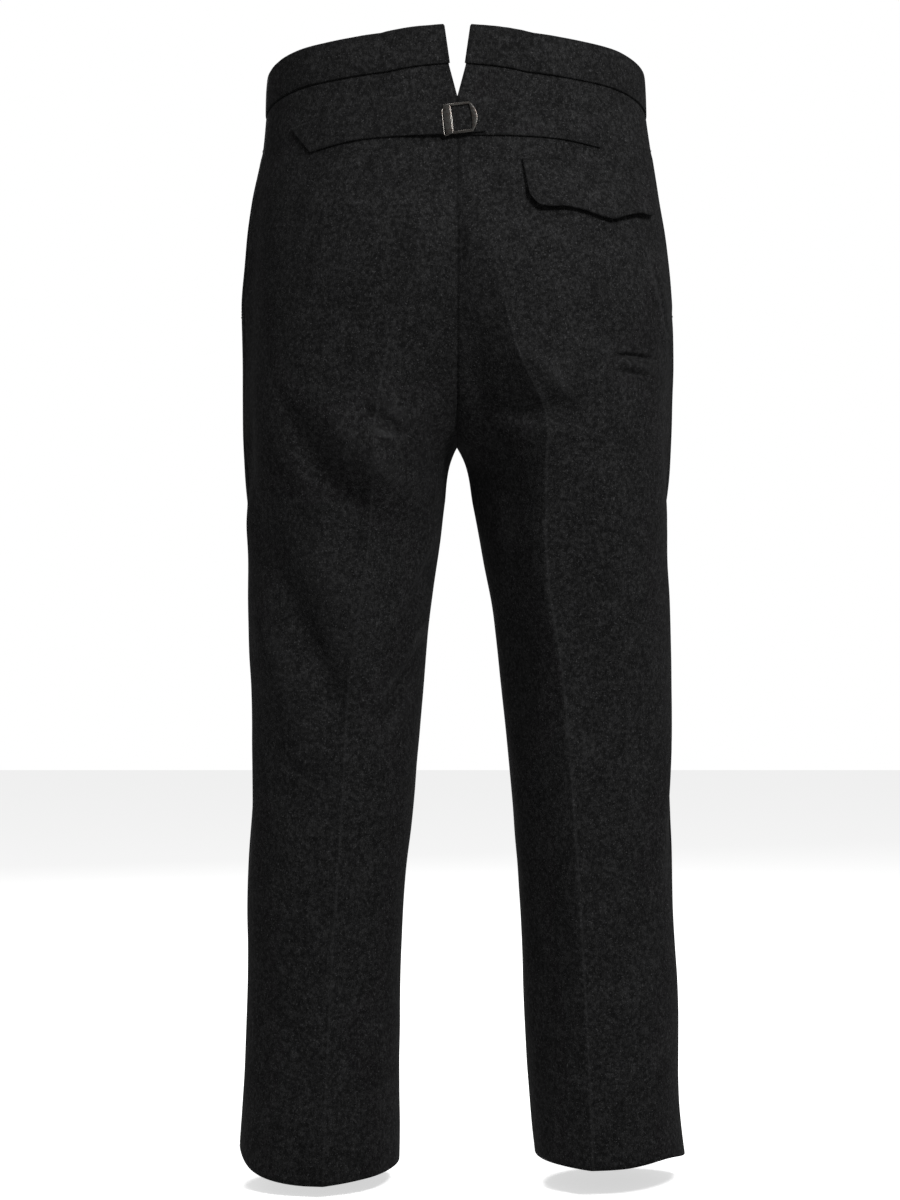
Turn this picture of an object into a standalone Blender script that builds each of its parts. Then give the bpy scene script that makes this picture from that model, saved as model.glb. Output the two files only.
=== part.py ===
"""Wool trousers with a high notched back, in the open, hollow shape that they have when worn.

+X is the wearer's left, -Y the front and +Z up, in metres. The origin is the middle of the waist, where
the wearer holds the garment up. Every surface is worked out from the sections of the body and legs:
a tube for each leg, cut off by the centre plane above the crotch.
"""

import math

import bmesh
import bpy
import numpy as np


def columns(names, rows):
    """A table as one array for each named column."""
    return dict(zip(names.split(), np.array(rows, float).T))


# Cloth and seams
CLOTH_WALL = 0.0020  # heavy milled wool
BAND_WALL = 0.0032  # two layers of it, turned in
FLAP_WALL = 0.0026
STRAP_WALL = 0.0018
SEAM = 0.0003  # gap between two sewn edges
CLEARANCE = 0.0005  # under what lies on a panel
BAND_PROUD = 0.0008  # how far the band stands out from the panel below it

# Waist
BAND_HEIGHT = 0.0365
TOP_EDGE = columns(
    "around height",  # 0 centre back, 0.5 back crease, 1 side seam, 1.5 front crease, 2 centre front
    [
        (0.00, 0.0620),
        (0.30, 0.0590),
        (0.50, 0.0550),
        (0.66, 0.0505),
        (0.80, 0.0460),
        (0.90, 0.0400),
        (1.00, 0.0325),
        (1.30, 0.0315),
        (2.00, 0.0370),
    ],
)
NOTCH = columns("level half_width", [(-0.010, 0.00015), (0.023, 0.0080), (0.062, 0.0134)])
BLEND_DEPTH = 0.14  # the curve of the waist has faded out this far below the origin

# Sections: out and in are the outer and inner side of a leg tube, from the centre plane. Above the
# crotch the inner side would lie beyond the plane, so it is negative. Each quarter has its own power,
# and powers over 2 square it off: back and front are the outer quarters, seat and fork the inner ones.
SECTIONS = columns(
    "level out_left out_right in_left in_right back front back_power front_power seat_power fork_power",
    [
        (0.065, 0.1880, 0.1870, -0.1860, -0.1850, 0.1140, -0.1120, 2.15, 2.30, 2.15, 2.30),
        (0.000, 0.1900, 0.1880, -0.1820, -0.1820, 0.1170, -0.1170, 2.15, 2.30, 2.20, 2.35),
        (-0.042, 0.1940, 0.1940, -0.1700, -0.1700, 0.1220, -0.1220, 2.20, 2.40, 2.30, 2.50),
        (-0.092, 0.2050, 0.2020, -0.1440, -0.1440, 0.1310, -0.1265, 2.25, 2.50, 2.50, 2.70),
        (-0.142, 0.2105, 0.2095, -0.1140, -0.1140, 0.1395, -0.1290, 2.30, 2.60, 2.70, 2.90),
        (-0.192, 0.2145, 0.2145, -0.0840, -0.0840, 0.1450, -0.1290, 2.30, 2.60, 2.90, 3.10),
        (-0.242, 0.2150, 0.2155, -0.0545, -0.0545, 0.1430, -0.1275, 2.32, 2.60, 3.05, 3.20),
        (-0.292, 0.2145, 0.2150, -0.0255, -0.0255, 0.1360, -0.1240, 2.35, 2.55, 3.10, 3.20),
        (-0.322, 0.2138, 0.2142, -0.0075, -0.0075, 0.1292, -0.1213, 2.35, 2.51, 3.00, 3.10),
        (-0.334, 0.2135, 0.2138, 0.0000, 0.0000, 0.1262, -0.1201, 2.34, 2.49, 2.92, 3.03),
        (-0.346, 0.2132, 0.2134, 0.0055, 0.0065, 0.1232, -0.1189, 2.33, 2.46, 2.84, 2.95),
        (-0.393, 0.2120, 0.2120, 0.0130, 0.0170, 0.1120, -0.1140, 2.30, 2.35, 2.55, 2.65),
        (-0.442, 0.2090, 0.2110, 0.0190, 0.0260, 0.1035, -0.1085, 2.25, 2.30, 2.35, 2.40),
        (-0.492, 0.2080, 0.2130, 0.0260, 0.0350, 0.0970, -0.1020, 2.20, 2.25, 2.25, 2.30),
        (-0.592, 0.2060, 0.2150, 0.0350, 0.0460, 0.0885, -0.0910, 2.20, 2.20, 2.20, 2.20),
        (-0.692, 0.2060, 0.2150, 0.0440, 0.0560, 0.0830, -0.0830, 2.20, 2.20, 2.20, 2.20),
        (-0.792, 0.2090, 0.2160, 0.0530, 0.0630, 0.0810, -0.0770, 2.20, 2.20, 2.20, 2.20),
        (-0.892, 0.2100, 0.2210, 0.0570, 0.0660, 0.0810, -0.0730, 2.20, 2.20, 2.20, 2.20),
        (-0.992, 0.2140, 0.2230, 0.0580, 0.0730, 0.0820, -0.0700, 2.20, 2.20, 2.20, 2.20),
        (-1.055, 0.2180, 0.2300, 0.0580, 0.0800, 0.0830, -0.0690, 2.20, 2.20, 2.20, 2.20),
    ],
)
SIDE_SEAM_ANGLE = 0.10  # round the section, a little behind its widest point

# Pressed creases: how far from the centre plane they run, and how high they stand.
CREASES = columns(
    "level left right height",
    [
        (0.065, 0.075, 0.075, 0.0000),
        (-0.060, 0.052, 0.050, 0.0000),
        (-0.140, 0.043, 0.038, 0.0010),
        (-0.223, 0.062, 0.052, 0.0028),
        (-0.262, 0.068, 0.067, 0.0034),
        (-0.305, 0.075, 0.081, 0.0036),
        (-0.374, 0.080, 0.084, 0.0042),
        (-0.450, 0.087, 0.086, 0.0048),
        (-0.564, 0.104, 0.102, 0.0050),
        (-0.680, 0.111, 0.112, 0.0046),
        (-0.912, 0.125, 0.126, 0.0046),
        (-1.055, 0.130, 0.132, 0.0046),
    ],
)
CREASE_REACH = 0.020

# The largest folds, each a curve seen from behind: troughs have a height below zero.
FOLDS = columns(
    "side from_x from_level to_x to_level bow width height",
    [
        (1, 0.150, -0.318, 0.083, -0.387, 0.006, 0.015, -0.0055),
        (1, 0.086, -0.308, 0.042, -0.330, 0.004, 0.012, -0.0030),
        (1, 0.118, -0.312, 0.050, -0.360, 0.010, 0.016, 0.0035),
        (1, 0.196, -0.410, 0.118, -0.680, 0.018, 0.020, -0.0045),
        (1, 0.030, -0.520, 0.078, -0.600, 0.006, 0.018, -0.0030),
        (-1, 0.034, -0.292, 0.108, -0.299, -0.006, 0.014, -0.0040),
        (-1, 0.085, -0.268, 0.115, -0.286, 0.002, 0.016, 0.0035),
        (-1, 0.042, -0.370, 0.066, -0.620, 0.004, 0.022, -0.0050),
        (-1, 0.190, -0.560, 0.165, -0.900, 0.006, 0.024, -0.0030),
    ],
)

# Hems: 0 and 2 are the inseam, 1 the side seam.
HEMS = columns(
    "around left right",
    [
        (0.0, -1.044, -1.037),
        (0.3, -1.049, -1.037),
        (0.6, -1.053, -1.037),
        (0.8, -1.046, -1.032),
        (1.0, -1.028, -1.038),
        (1.5, -1.036, -1.034),
        (2.0, -1.044, -1.037),
    ],
)

# Rows of faces down a panel, closest round the crotch, and columns across it.
ROWS = columns(
    "level rows",
    [(-0.130, 6), (-0.300, 9), (-0.322, 2), (-0.3345, 3), (-0.352, 2), (-0.480, 7), (-1.040, 9)],
)
BACK_COLUMNS = (7, 12)  # centre to crease, crease to side seam
FRONT_COLUMNS = (7, 6)  # side seam to crease, crease to centre

# Half-belts: the lower and upper edge from one end to the other, seen from behind.
STRAP_LEFT = columns(
    "low_x low_level high_x high_level lift",
    [
        (-0.027, -0.0385, -0.0290, -0.0180, 0.0024),
        (-0.022, -0.0420, -0.0220, -0.0145, 0.0024),
        (0.022, -0.0445, 0.0220, -0.0135, 0.0024),
        (0.060, -0.0453, 0.0620, -0.0135, 0.0000),
        (0.100, -0.0480, 0.1080, -0.0160, 0.0000),
        (0.142, -0.0560, 0.1620, -0.0285, 0.0000),
    ],
)
STRAP_RIGHT = columns(
    "low_x low_level high_x high_level lift",
    [
        (0.018, -0.0430, 0.018, -0.0145, 0.0000),
        (-0.020, -0.0445, -0.020, -0.0135, 0.0000),
        (-0.060, -0.0446, -0.062, -0.0135, 0.0000),
        (-0.100, -0.0463, -0.104, -0.0155, 0.0000),
        (-0.137, -0.0520, -0.147, -0.0220, 0.0000),
    ],
)
STRAP_FACES = (26, 4)

# Buckle: a plate of bars, bowed at its two ends, seen from behind.
BUCKLE_MIDDLE = (-0.0035, -0.0285)
BUCKLE_SIZE = (0.033, 0.034)
BUCKLE_BOW = 0.0022
BUCKLE_BAR = 0.0075
BUCKLE_RAIL = 0.0030
BUCKLE_THICK = 0.0020
LOOP_GAP = 0.0022
LOOP_BAR = 0.0018

# Flap of the right rear pocket, seen from behind, from the centre outwards.
FLAP_TOP = -0.067
FLAP = columns(
    "share top_x low_x low_level",
    [
        (0.00, 0.062, 0.068, -0.1030),
        (0.06, 0.068, 0.075, -0.1110),
        (0.14, 0.078, 0.084, -0.1135),
        (0.30, 0.098, 0.103, -0.1130),
        (0.42, 0.115, 0.120, -0.1160),
        (0.55, 0.133, 0.139, -0.1215),
        (0.62, 0.141, 0.147, -0.1225),
        (0.72, 0.153, 0.160, -0.1175),
        (0.82, 0.165, 0.172, -0.1136),
        (0.92, 0.178, 0.184, -0.1130),
        (1.00, 0.187, 0.190, -0.1060),
    ],
)
FLAP_STAND = 0.0030  # how far its lower edge stands off the panel
FLAP_FACES = (18, 5)

# Front opening
FLY_WIDTH = (-0.032, 0.022)  # the shield reaches further under the right front
FLY_DEPTH = 0.185
FLY_FACES = (6, 9)
LAP = 0.036  # how far the left end of the waistband laps over the right end
LAP_RUN = 0.045  # and over how long it rises to do so
BUTTON_RADIUS = 0.0085
BUTTON_THICK = 0.0030
BUTTON_SEAT = 0.0009  # it stands clear of the band by its thread
BUTTON_STEPS = 24

# Colours, linear
WOOL = (0.0130, 0.0130, 0.0135, 1)
STEEL = (0.22, 0.20, 0.19, 1)
HORN = (0.020, 0.017, 0.015, 1)

HAND = {1: "left", -1: "right"}
BACK = ("back_power", "seat_power")  # outer and inner quarter
FRONT = ("front_power", "fork_power")
SHARP = math.radians(50)
ARC_STEPS = 40
NUDGE = 1e-4


def smooth(at, places, values):
    """Values on a smooth curve through the rows of a table."""
    order = np.argsort(places)
    x, y = places[order], values[order]
    slope = np.gradient(y, x)
    at = np.clip(at, x[0], x[-1])
    i = np.clip(np.searchsorted(x, at) - 1, 0, len(x) - 2)
    width = x[i + 1] - x[i]
    t = (at - x[i]) / width
    rise = slope[i] * width * t * (1 - t) ** 2 + slope[i + 1] * width * t * t * (t - 1)
    return y[i] * (1 + 2 * t) * (1 - t) ** 2 + y[i + 1] * t * t * (3 - 2 * t) + rise


def fade(value, start, stop):
    """0 at start and 1 at stop, with no kink at either."""
    t = np.clip((value - start) / (stop - start), 0, 1)
    return t * t * (3 - 2 * t)


def signed_power(value, power):
    return np.sign(value) * np.abs(value) ** power


def section(side, level):
    """The size of one leg tube at each level."""
    hand = HAND[side]
    out = smooth(level, SECTIONS["level"], SECTIONS[f"out_{hand}"])
    inner = smooth(level, SECTIONS["level"], SECTIONS[f"in_{hand}"])
    size = {name: smooth(level, SECTIONS["level"], SECTIONS[name])
            for name in ("back", "front", *BACK, *FRONT)}
    size["middle"] = (out + inner) / 2
    size["half"] = (out - inner) / 2
    size["crease"] = smooth(level, CREASES["level"], CREASES[hand])
    return size


def ring_point(size, angle):
    """A point of the section: 0 is its outer side and a quarter turn its back."""
    behind, inside = np.sin(angle) > 0, np.cos(angle) < 0
    backs, fronts = (np.where(inside, size[inner], size[outer]) for outer, inner in (BACK, FRONT))
    power = np.where(behind, backs, fronts)
    depth = np.where(behind, size["back"], -size["front"])
    x = size["middle"] + size["half"] * signed_power(np.cos(angle), 2 / power)
    return x, depth * signed_power(np.sin(angle), 2 / power)


def angle_at(size, x, outer, inner):
    """How far round from the outer side a back or front is x from the centre plane."""
    share = np.clip((x - size["middle"]) / size["half"], -1, 1)
    power = np.where(share < 0, size[inner], size[outer])
    return np.arccos(signed_power(share, power / 2))


def relief(side, x, behind, level):
    """How far the creases and folds lift the cloth off the plain section."""
    hand = HAND[side]
    height = smooth(level, CREASES["level"], CREASES["height"])
    off = np.abs(x - smooth(level, CREASES["level"], CREASES[hand]))
    total = height * np.exp(-off / CREASE_REACH)
    for row in range(len(FOLDS["side"])):
        fold = {name: column[row] for name, column in FOLDS.items()}
        if fold["side"] != side:
            continue
        start = np.array([fold["from_x"], fold["from_level"]])
        stop = np.array([fold["to_x"], fold["to_level"]])
        run = stop - start
        bend = (start + stop) / 2 + fold["bow"] * 2 * np.array([-run[1], run[0]]) / np.hypot(*run)
        nearest = np.full(np.shape(x), np.inf)
        for t in np.linspace(0, 1, 13):
            at = start * (1 - t) ** 2 + 2 * bend * t * (1 - t) + stop * t * t
            narrow = 0.35 + 0.65 * math.sin(math.pi * (0.08 + 0.84 * t))
            nearest = np.minimum(nearest, np.hypot(x - at[0], level - at[1]) / narrow)
        total = total + behind * fold["height"] * np.exp(-((nearest / fold["width"]) ** 2))
    return total


def skin(side, around, level, out=0.0):
    """Points of the outer face of the cloth, or out from it along the level.

    around is 0 at the centre back or inseam, 0.5 at the back crease, 1 at the side seam, 1.5 at the
    front crease and 2 at the centre front or inseam.
    """
    around, level, out = np.broadcast_arrays(*map(np.asarray, (around, level, out)))
    size = section(side, level)
    notch = np.interp(level, NOTCH["level"], NOTCH["half_width"])
    stops = np.stack([
        angle_at(size, notch, *BACK),
        angle_at(size, size["crease"], *BACK),
        np.full(level.shape, SIDE_SEAM_ANGLE),
        -angle_at(size, size["crease"], *FRONT),
        -angle_at(size, SEAM / 2, *FRONT),
    ])
    part = np.clip((around * 2).astype(int), 0, 3)
    start = np.take_along_axis(stops, part[None], 0)[0]
    stop = np.take_along_axis(stops, part[None] + 1, 0)[0]
    steps = np.linspace(0, 1, ARC_STEPS + 1)
    angles = start[..., None] + (stop - start)[..., None] * steps
    wide = {name: value[..., None] for name, value in size.items()}
    x, y = ring_point(wide, angles)
    lengths = np.hypot(np.diff(x), np.diff(y)).cumsum(-1)
    lengths = np.concatenate([np.zeros(lengths.shape[:-1] + (1,)), lengths], -1)
    whole = lengths[..., -1]
    # A sewn edge stops half a seam short; on the centre plane the cut already leaves that gap.
    least = np.where((part == 2) | ((part == 0) & (start > math.pi - NUDGE)), SEAM / 2, 0)
    most = whole - np.where((part == 1) | ((part == 3) & (stop < NUDGE - math.pi)), SEAM / 2, 0)
    wanted = np.clip((around * 2 - part) * whole, least, most)
    i = np.clip((lengths < wanted[..., None]).sum(-1) - 1, 0, ARC_STEPS - 1)
    low = np.take_along_axis(lengths, i[..., None], -1)[..., 0]
    high = np.take_along_axis(lengths, i[..., None] + 1, -1)[..., 0]
    angle = start + (stop - start) * (i + (wanted - low) / np.maximum(high - low, 1e-9)) / ARC_STEPS
    return raised(side, size, angle, level, out)


def raised(side, size, angle, level, out):
    """The points at these angles, moved out by the folds and by out."""
    x, y = ring_point(size, angle)
    ahead, behind = ring_point(size, angle + NUDGE), ring_point(size, angle - NUDGE)
    normal = np.stack([ahead[1] - behind[1], behind[0] - ahead[0]])
    normal /= np.maximum(np.hypot(*normal), 1e-12)
    lift = relief(side, x, fade(y, 0.0, 0.03), level) + out
    centre = np.where(y > 0, np.interp(level, NOTCH["level"], NOTCH["half_width"]), SEAM / 2)
    px = np.maximum(x + lift * normal[0], np.minimum(x, centre))
    return np.stack([side * px, y + lift * normal[1], level + 0 * x], -1)


def face(x, level, out, front=False):
    """Points out from the back or the front, by their distance from the centre plane."""
    x, level, out = np.broadcast_arrays(*map(np.asarray, (x, level, out)))
    points = np.zeros(x.shape + (3,))
    for side in HAND:
        here = (x > 0) == (side > 0)
        size = section(side, level[here])
        angle = angle_at(size, np.abs(x[here]), *(FRONT if front else BACK)) * (-1 if front else 1)
        points[here] = raised(side, size, angle, level[here], out[here])
    return points


def material(name, colour, roughness, metallic=0.0):
    made = bpy.data.materials.new(name)
    made.use_nodes = True
    shader = made.node_tree.nodes["Principled BSDF"]
    shader.inputs["Base Color"].default_value = colour
    shader.inputs["Roughness"].default_value = roughness
    shader.inputs["Metallic"].default_value = metallic
    return made


def add_object(name, mesh, finish):
    mesh.materials.append(finish)
    made = bpy.data.objects.new(name, mesh)
    bpy.context.scene.collection.objects.link(made)
    return made


def cloth(name, outer, inner, finish, turned=False):
    """A closed wall between two grids of points, the outer and the inner face of one piece."""
    rows, across = outer.shape[:2]
    index = np.arange(rows * across).reshape(rows, across)
    corners = np.stack([index[:-1, :-1], index[:-1, 1:], index[1:, 1:], index[1:, :-1]], -1)
    corners = corners.reshape(-1, 4)
    border = np.concatenate([index[0], index[1:, -1], index[-1, -2::-1], index[-2:0:-1, 0]])
    ahead = np.roll(border, -1)
    other = rows * across
    rim = np.stack([border, border + other, ahead + other, ahead], -1)
    faces = np.concatenate([corners, corners[:, ::-1] + other, rim])
    if turned:
        faces = faces[:, ::-1]
    mesh = bpy.data.meshes.new(name)
    points = np.concatenate([outer.reshape(-1, 3), inner.reshape(-1, 3)])
    mesh.from_pydata(points.tolist(), [], faces.tolist())
    mesh.shade_smooth()
    mesh.set_sharp_from_angle(angle=SHARP)
    return add_object(name, mesh, finish)


def spaced(stops, counts):
    """Even steps between each two stops."""
    runs = [np.linspace(a, b, n, endpoint=False) for a, b, n in zip(stops, stops[1:], counts)]
    return np.append(np.concatenate(runs), stops[-1])


def waist_level(around):
    """The upper edge of the waistband."""
    return smooth(around, TOP_EDGE["around"], TOP_EDGE["height"])


def panel(name, side, around, finish):
    """A back or a front, from the waistband's seam to the hem."""
    top = waist_level(around) - BAND_HEIGHT - SEAM
    hem = smooth(around, HEMS["around"], HEMS[HAND[side]])
    plain = spaced([top.mean(), *ROWS["level"]], ROWS["rows"].astype(int))[:, None]
    slope = 1 - fade(-plain, 0, BLEND_DEPTH)
    drop = fade(-plain, -ROWS["level"][-2], -ROWS["level"][-1])
    level = plain + (top - top.mean()) * slope + (hem - ROWS["level"][-1]) * drop
    outer = skin(side, around[None], level)
    return cloth(name, outer, skin(side, around[None], level, -CLOTH_WALL), finish, side < 0)


def waistband(side, finish):
    """Half of the band. The left one runs on past the centre front, over the right one."""
    around = np.concatenate([
        spaced([0, 0.5, 1], (5, 10)),
        spaced([1, 1.5, 2], (7, 5))[1:],
    ])
    top = waist_level(around)
    share = np.linspace(0, 1, 4)[:, None]
    level = top - BAND_HEIGHT * share
    middle = skin(side, around[None], level)
    out = np.full(level.shape, BAND_PROUD)
    if side > 0:
        to_front = np.where(around > 1, np.abs(middle[0, :, 0]), LAP_RUN)
        out = out + (BAND_WALL + CLEARANCE) * (1 - fade(to_front, SEAM, LAP_RUN))
    faces = [skin(side, around[None], level, out - inset) for inset in (0, BAND_WALL)]
    if side > 0:
        beyond = -np.linspace(0, LAP, 7)[1:]
        ends = np.full(beyond.shape, top[-1]) - BAND_HEIGHT * share
        for i, inset in enumerate((0, BAND_WALL)):
            lap = face(beyond, ends, out[0, -1] - inset, front=True)
            faces[i] = np.concatenate([faces[i], lap], 1)
    return cloth(f"waistband_{HAND[side]}", *faces, finish, side < 0)


def strap(name, edges, finish, turned):
    """A half-belt lying on the back, between a lower and an upper edge."""
    along = np.linspace(0, 1, len(edges["lift"]))
    at = np.linspace(0, 1, STRAP_FACES[0] + 1)
    low_x, low, high_x, high, lift = (
        smooth(at, along, edges[key])
        for key in ("low_x", "low_level", "high_x", "high_level", "lift")
    )
    up = np.linspace(1, 0, STRAP_FACES[1] + 1)[:, None]
    x = low_x + (high_x - low_x) * up
    level = low + (high - low) * up
    under = CLEARANCE + np.maximum(lift, 0)
    return cloth(name, face(x, level, under + STRAP_WALL), face(x, level, under), finish, turned)


def flap(finish):
    """The pocket flap: sewn on along its top, standing off the panel along its scalloped edge."""
    share = np.linspace(0, 1, FLAP_FACES[0] + 1)
    top_x, low_x, low = (
        smooth(share, FLAP["share"], FLAP[key]) for key in ("top_x", "low_x", "low_level")
    )
    down = np.linspace(0, 1, FLAP_FACES[1] + 1)[:, None]
    x = -(top_x + (low_x - top_x) * down)
    level = FLAP_TOP + (low - FLAP_TOP) * down
    under = CLEARANCE + FLAP_STAND * down**1.5
    return cloth("pocket_flap", face(x, level, under + FLAP_WALL), face(x, level, under), finish, True)


def fly(finish):
    """The strip behind the front opening, just inside both fronts."""
    x = np.linspace(*FLY_WIDTH, FLY_FACES[0] + 1)[None]
    top = waist_level(2.0) - BAND_HEIGHT - SEAM - BAND_WALL
    level = np.linspace(top, top - FLY_DEPTH, FLY_FACES[1] + 1)[:, None]
    out = -CLOTH_WALL - 2 * CLEARANCE
    outer, inner = (face(x, level, out - inset, front=True) for inset in (0, CLOTH_WALL))
    return cloth("fly_shield", outer, inner, finish, True)


def outline(curve, points):
    spline = curve.splines.new("POLY")
    spline.points.add(len(points) - 1)
    for point, (x, y) in zip(spline.points, points):
        point.co = (x, y, 0, 1)
    spline.use_cyclic_u = True


def bowed_box(left, right, low, high, bow, steps=8):
    """A rectangle whose two upright sides bow outwards."""
    turns = np.linspace(-1, 1, steps + 1)
    half, middle = (high - low) / 2, (high + low) / 2
    sides = [(right + bow * (1 - t * t), middle + half * t) for t in turns]
    return sides + [(left - bow * (1 - t * t), middle + half * t) for t in turns[::-1]]


def buckle(finish):
    """Two broad bowed bars joined by thin rails, with a narrow loop beside them."""
    wide, high = (size / 2 for size in BUCKLE_SIZE)
    curve = bpy.data.curves.new("cinch_buckle", "CURVE")
    curve.dimensions = "2D"
    curve.fill_mode = "BOTH"
    curve.extrude = BUCKLE_THICK / 2
    loop = wide + LOOP_GAP + LOOP_BAR
    outline(curve, bowed_box(-wide, loop, -high, high, BUCKLE_BOW))
    rail = high - BUCKLE_RAIL
    outline(curve, bowed_box(-wide + BUCKLE_BAR, wide - BUCKLE_BAR, -rail, rail, BUCKLE_BOW / 2))
    outline(curve, bowed_box(wide, wide + LOOP_GAP, -rail, rail, 0.0, 1))
    curve.materials.append(finish)
    made = bpy.data.objects.new("cinch_buckle", curve)
    bpy.context.scene.collection.objects.link(made)
    x, level = BUCKLE_MIDDLE
    lift = max(STRAP_LEFT["lift"]) + STRAP_WALL + 2 * CLEARANCE + BUCKLE_THICK / 2
    made.location = face(x, level, lift + CLEARANCE)
    slope = face(x, level + high, 0.0) - face(x, level - high, 0.0)
    made.rotation_euler = (math.atan2(slope[2], slope[1]), 0, 0)
    return made


def button(finish):
    """A turned button on the front lap of the waistband."""
    r, half = BUTTON_RADIUS, BUTTON_THICK / 2
    profile = [(0, half * 0.3), (r * 0.55, half * 0.3), (r * 0.72, half), (r * 0.9, half),
               (r, half * 0.3), (r, -half * 0.4), (r * 0.85, -half), (0, -half)]
    shape = bmesh.new()
    verts = [shape.verts.new((x, 0, z)) for x, z in profile]
    edges = [shape.edges.new(pair) for pair in zip(verts, verts[1:])]
    turn = 2 * math.pi
    bmesh.ops.spin(shape, geom=verts + edges, axis=(0, 0, 1), angle=turn, steps=BUTTON_STEPS)
    bmesh.ops.remove_doubles(shape, verts=shape.verts, dist=1e-6)
    bmesh.ops.recalc_face_normals(shape, faces=shape.faces)
    mesh = bpy.data.meshes.new("waist_button")
    shape.to_mesh(mesh)
    shape.free()
    mesh.shade_smooth()
    made = add_object("waist_button", mesh, finish)
    level = waist_level(2.0) - BAND_HEIGHT / 2
    lift = BAND_PROUD + BAND_WALL + CLEARANCE + BUTTON_SEAT + half
    made.location = face(-LAP / 2, level, lift, front=True)
    made.rotation_euler = (math.pi / 2, 0, 0)
    return made


def build():
    for old in list(bpy.data.objects):
        bpy.data.objects.remove(old)
    wool = material("charcoal_wool", WOOL, 0.95)
    steel = material("dark_steel", STEEL, 0.35, 1.0)
    horn = material("horn", HORN, 0.4)
    just_short = 1 - 1e-9
    for side, hand in HAND.items():
        panel(f"back_{hand}", side, spaced([0, 0.5, just_short], BACK_COLUMNS), wool)
        panel(f"front_{hand}", side, spaced([1, 1.5, 2], FRONT_COLUMNS), wool)
        waistband(side, wool)
    strap("cinch_strap_left", STRAP_LEFT, wool, False)
    strap("cinch_strap_right", STRAP_RIGHT, wool, True)
    buckle(steel)
    flap(wool)
    fly(wool)
    button(horn)


build()
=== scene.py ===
import math

import bmesh
import bpy
import numpy as np
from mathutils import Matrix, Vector


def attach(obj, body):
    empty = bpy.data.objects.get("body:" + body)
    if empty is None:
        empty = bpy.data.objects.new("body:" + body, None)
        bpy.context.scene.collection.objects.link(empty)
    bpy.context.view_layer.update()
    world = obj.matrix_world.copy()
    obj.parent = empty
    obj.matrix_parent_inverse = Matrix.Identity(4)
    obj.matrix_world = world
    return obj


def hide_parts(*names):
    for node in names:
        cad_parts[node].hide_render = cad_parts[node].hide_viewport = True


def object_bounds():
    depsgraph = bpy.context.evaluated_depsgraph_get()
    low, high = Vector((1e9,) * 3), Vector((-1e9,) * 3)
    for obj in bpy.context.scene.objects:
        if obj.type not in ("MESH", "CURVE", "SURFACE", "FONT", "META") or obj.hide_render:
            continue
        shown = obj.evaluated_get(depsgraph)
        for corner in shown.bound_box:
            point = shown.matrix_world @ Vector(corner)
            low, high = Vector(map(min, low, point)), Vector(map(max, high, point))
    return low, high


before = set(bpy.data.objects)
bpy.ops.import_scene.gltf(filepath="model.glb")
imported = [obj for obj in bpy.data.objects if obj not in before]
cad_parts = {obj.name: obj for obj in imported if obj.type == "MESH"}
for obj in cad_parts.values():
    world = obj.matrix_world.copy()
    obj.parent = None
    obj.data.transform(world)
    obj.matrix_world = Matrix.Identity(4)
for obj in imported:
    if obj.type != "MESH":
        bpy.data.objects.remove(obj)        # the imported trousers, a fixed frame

# +X is the wearer's left, -Y the front, +Z up, in metres. The origin is the middle of the waist.
cadBox = [list(corner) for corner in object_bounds()]
handOf = {1: "left", -1: "right"}


def tableOf(names, rows):
    return dict(zip(names.split(), np.array(rows, float).T))


# Sizes of the body and legs, as the solids have them
bodySizes = {
    "clothWall": 0.0020,
    "seamOverlap": 0.0001,   # neighbouring panels share this sliver, so no light comes through
    "bandHeight": 0.0365,
    "waistBlend": 0.14,      # the curve of the waist has faded out this far down
    "sideSeamAngle": 0.10,   # round the section, a little behind its widest point
    "creaseRound": 0.0014,
    "hemTurn": 0.036,        # depth of the turned-up hem
    "hemWall": 0.0034,
    "grooveDepth": 0.0014,   # how far the cloth dips into a seam
    "grooveWidth": 0.0019,
    "edgeReach": 0.0035,     # how far in from its edges a piece looks pressed
}

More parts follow.
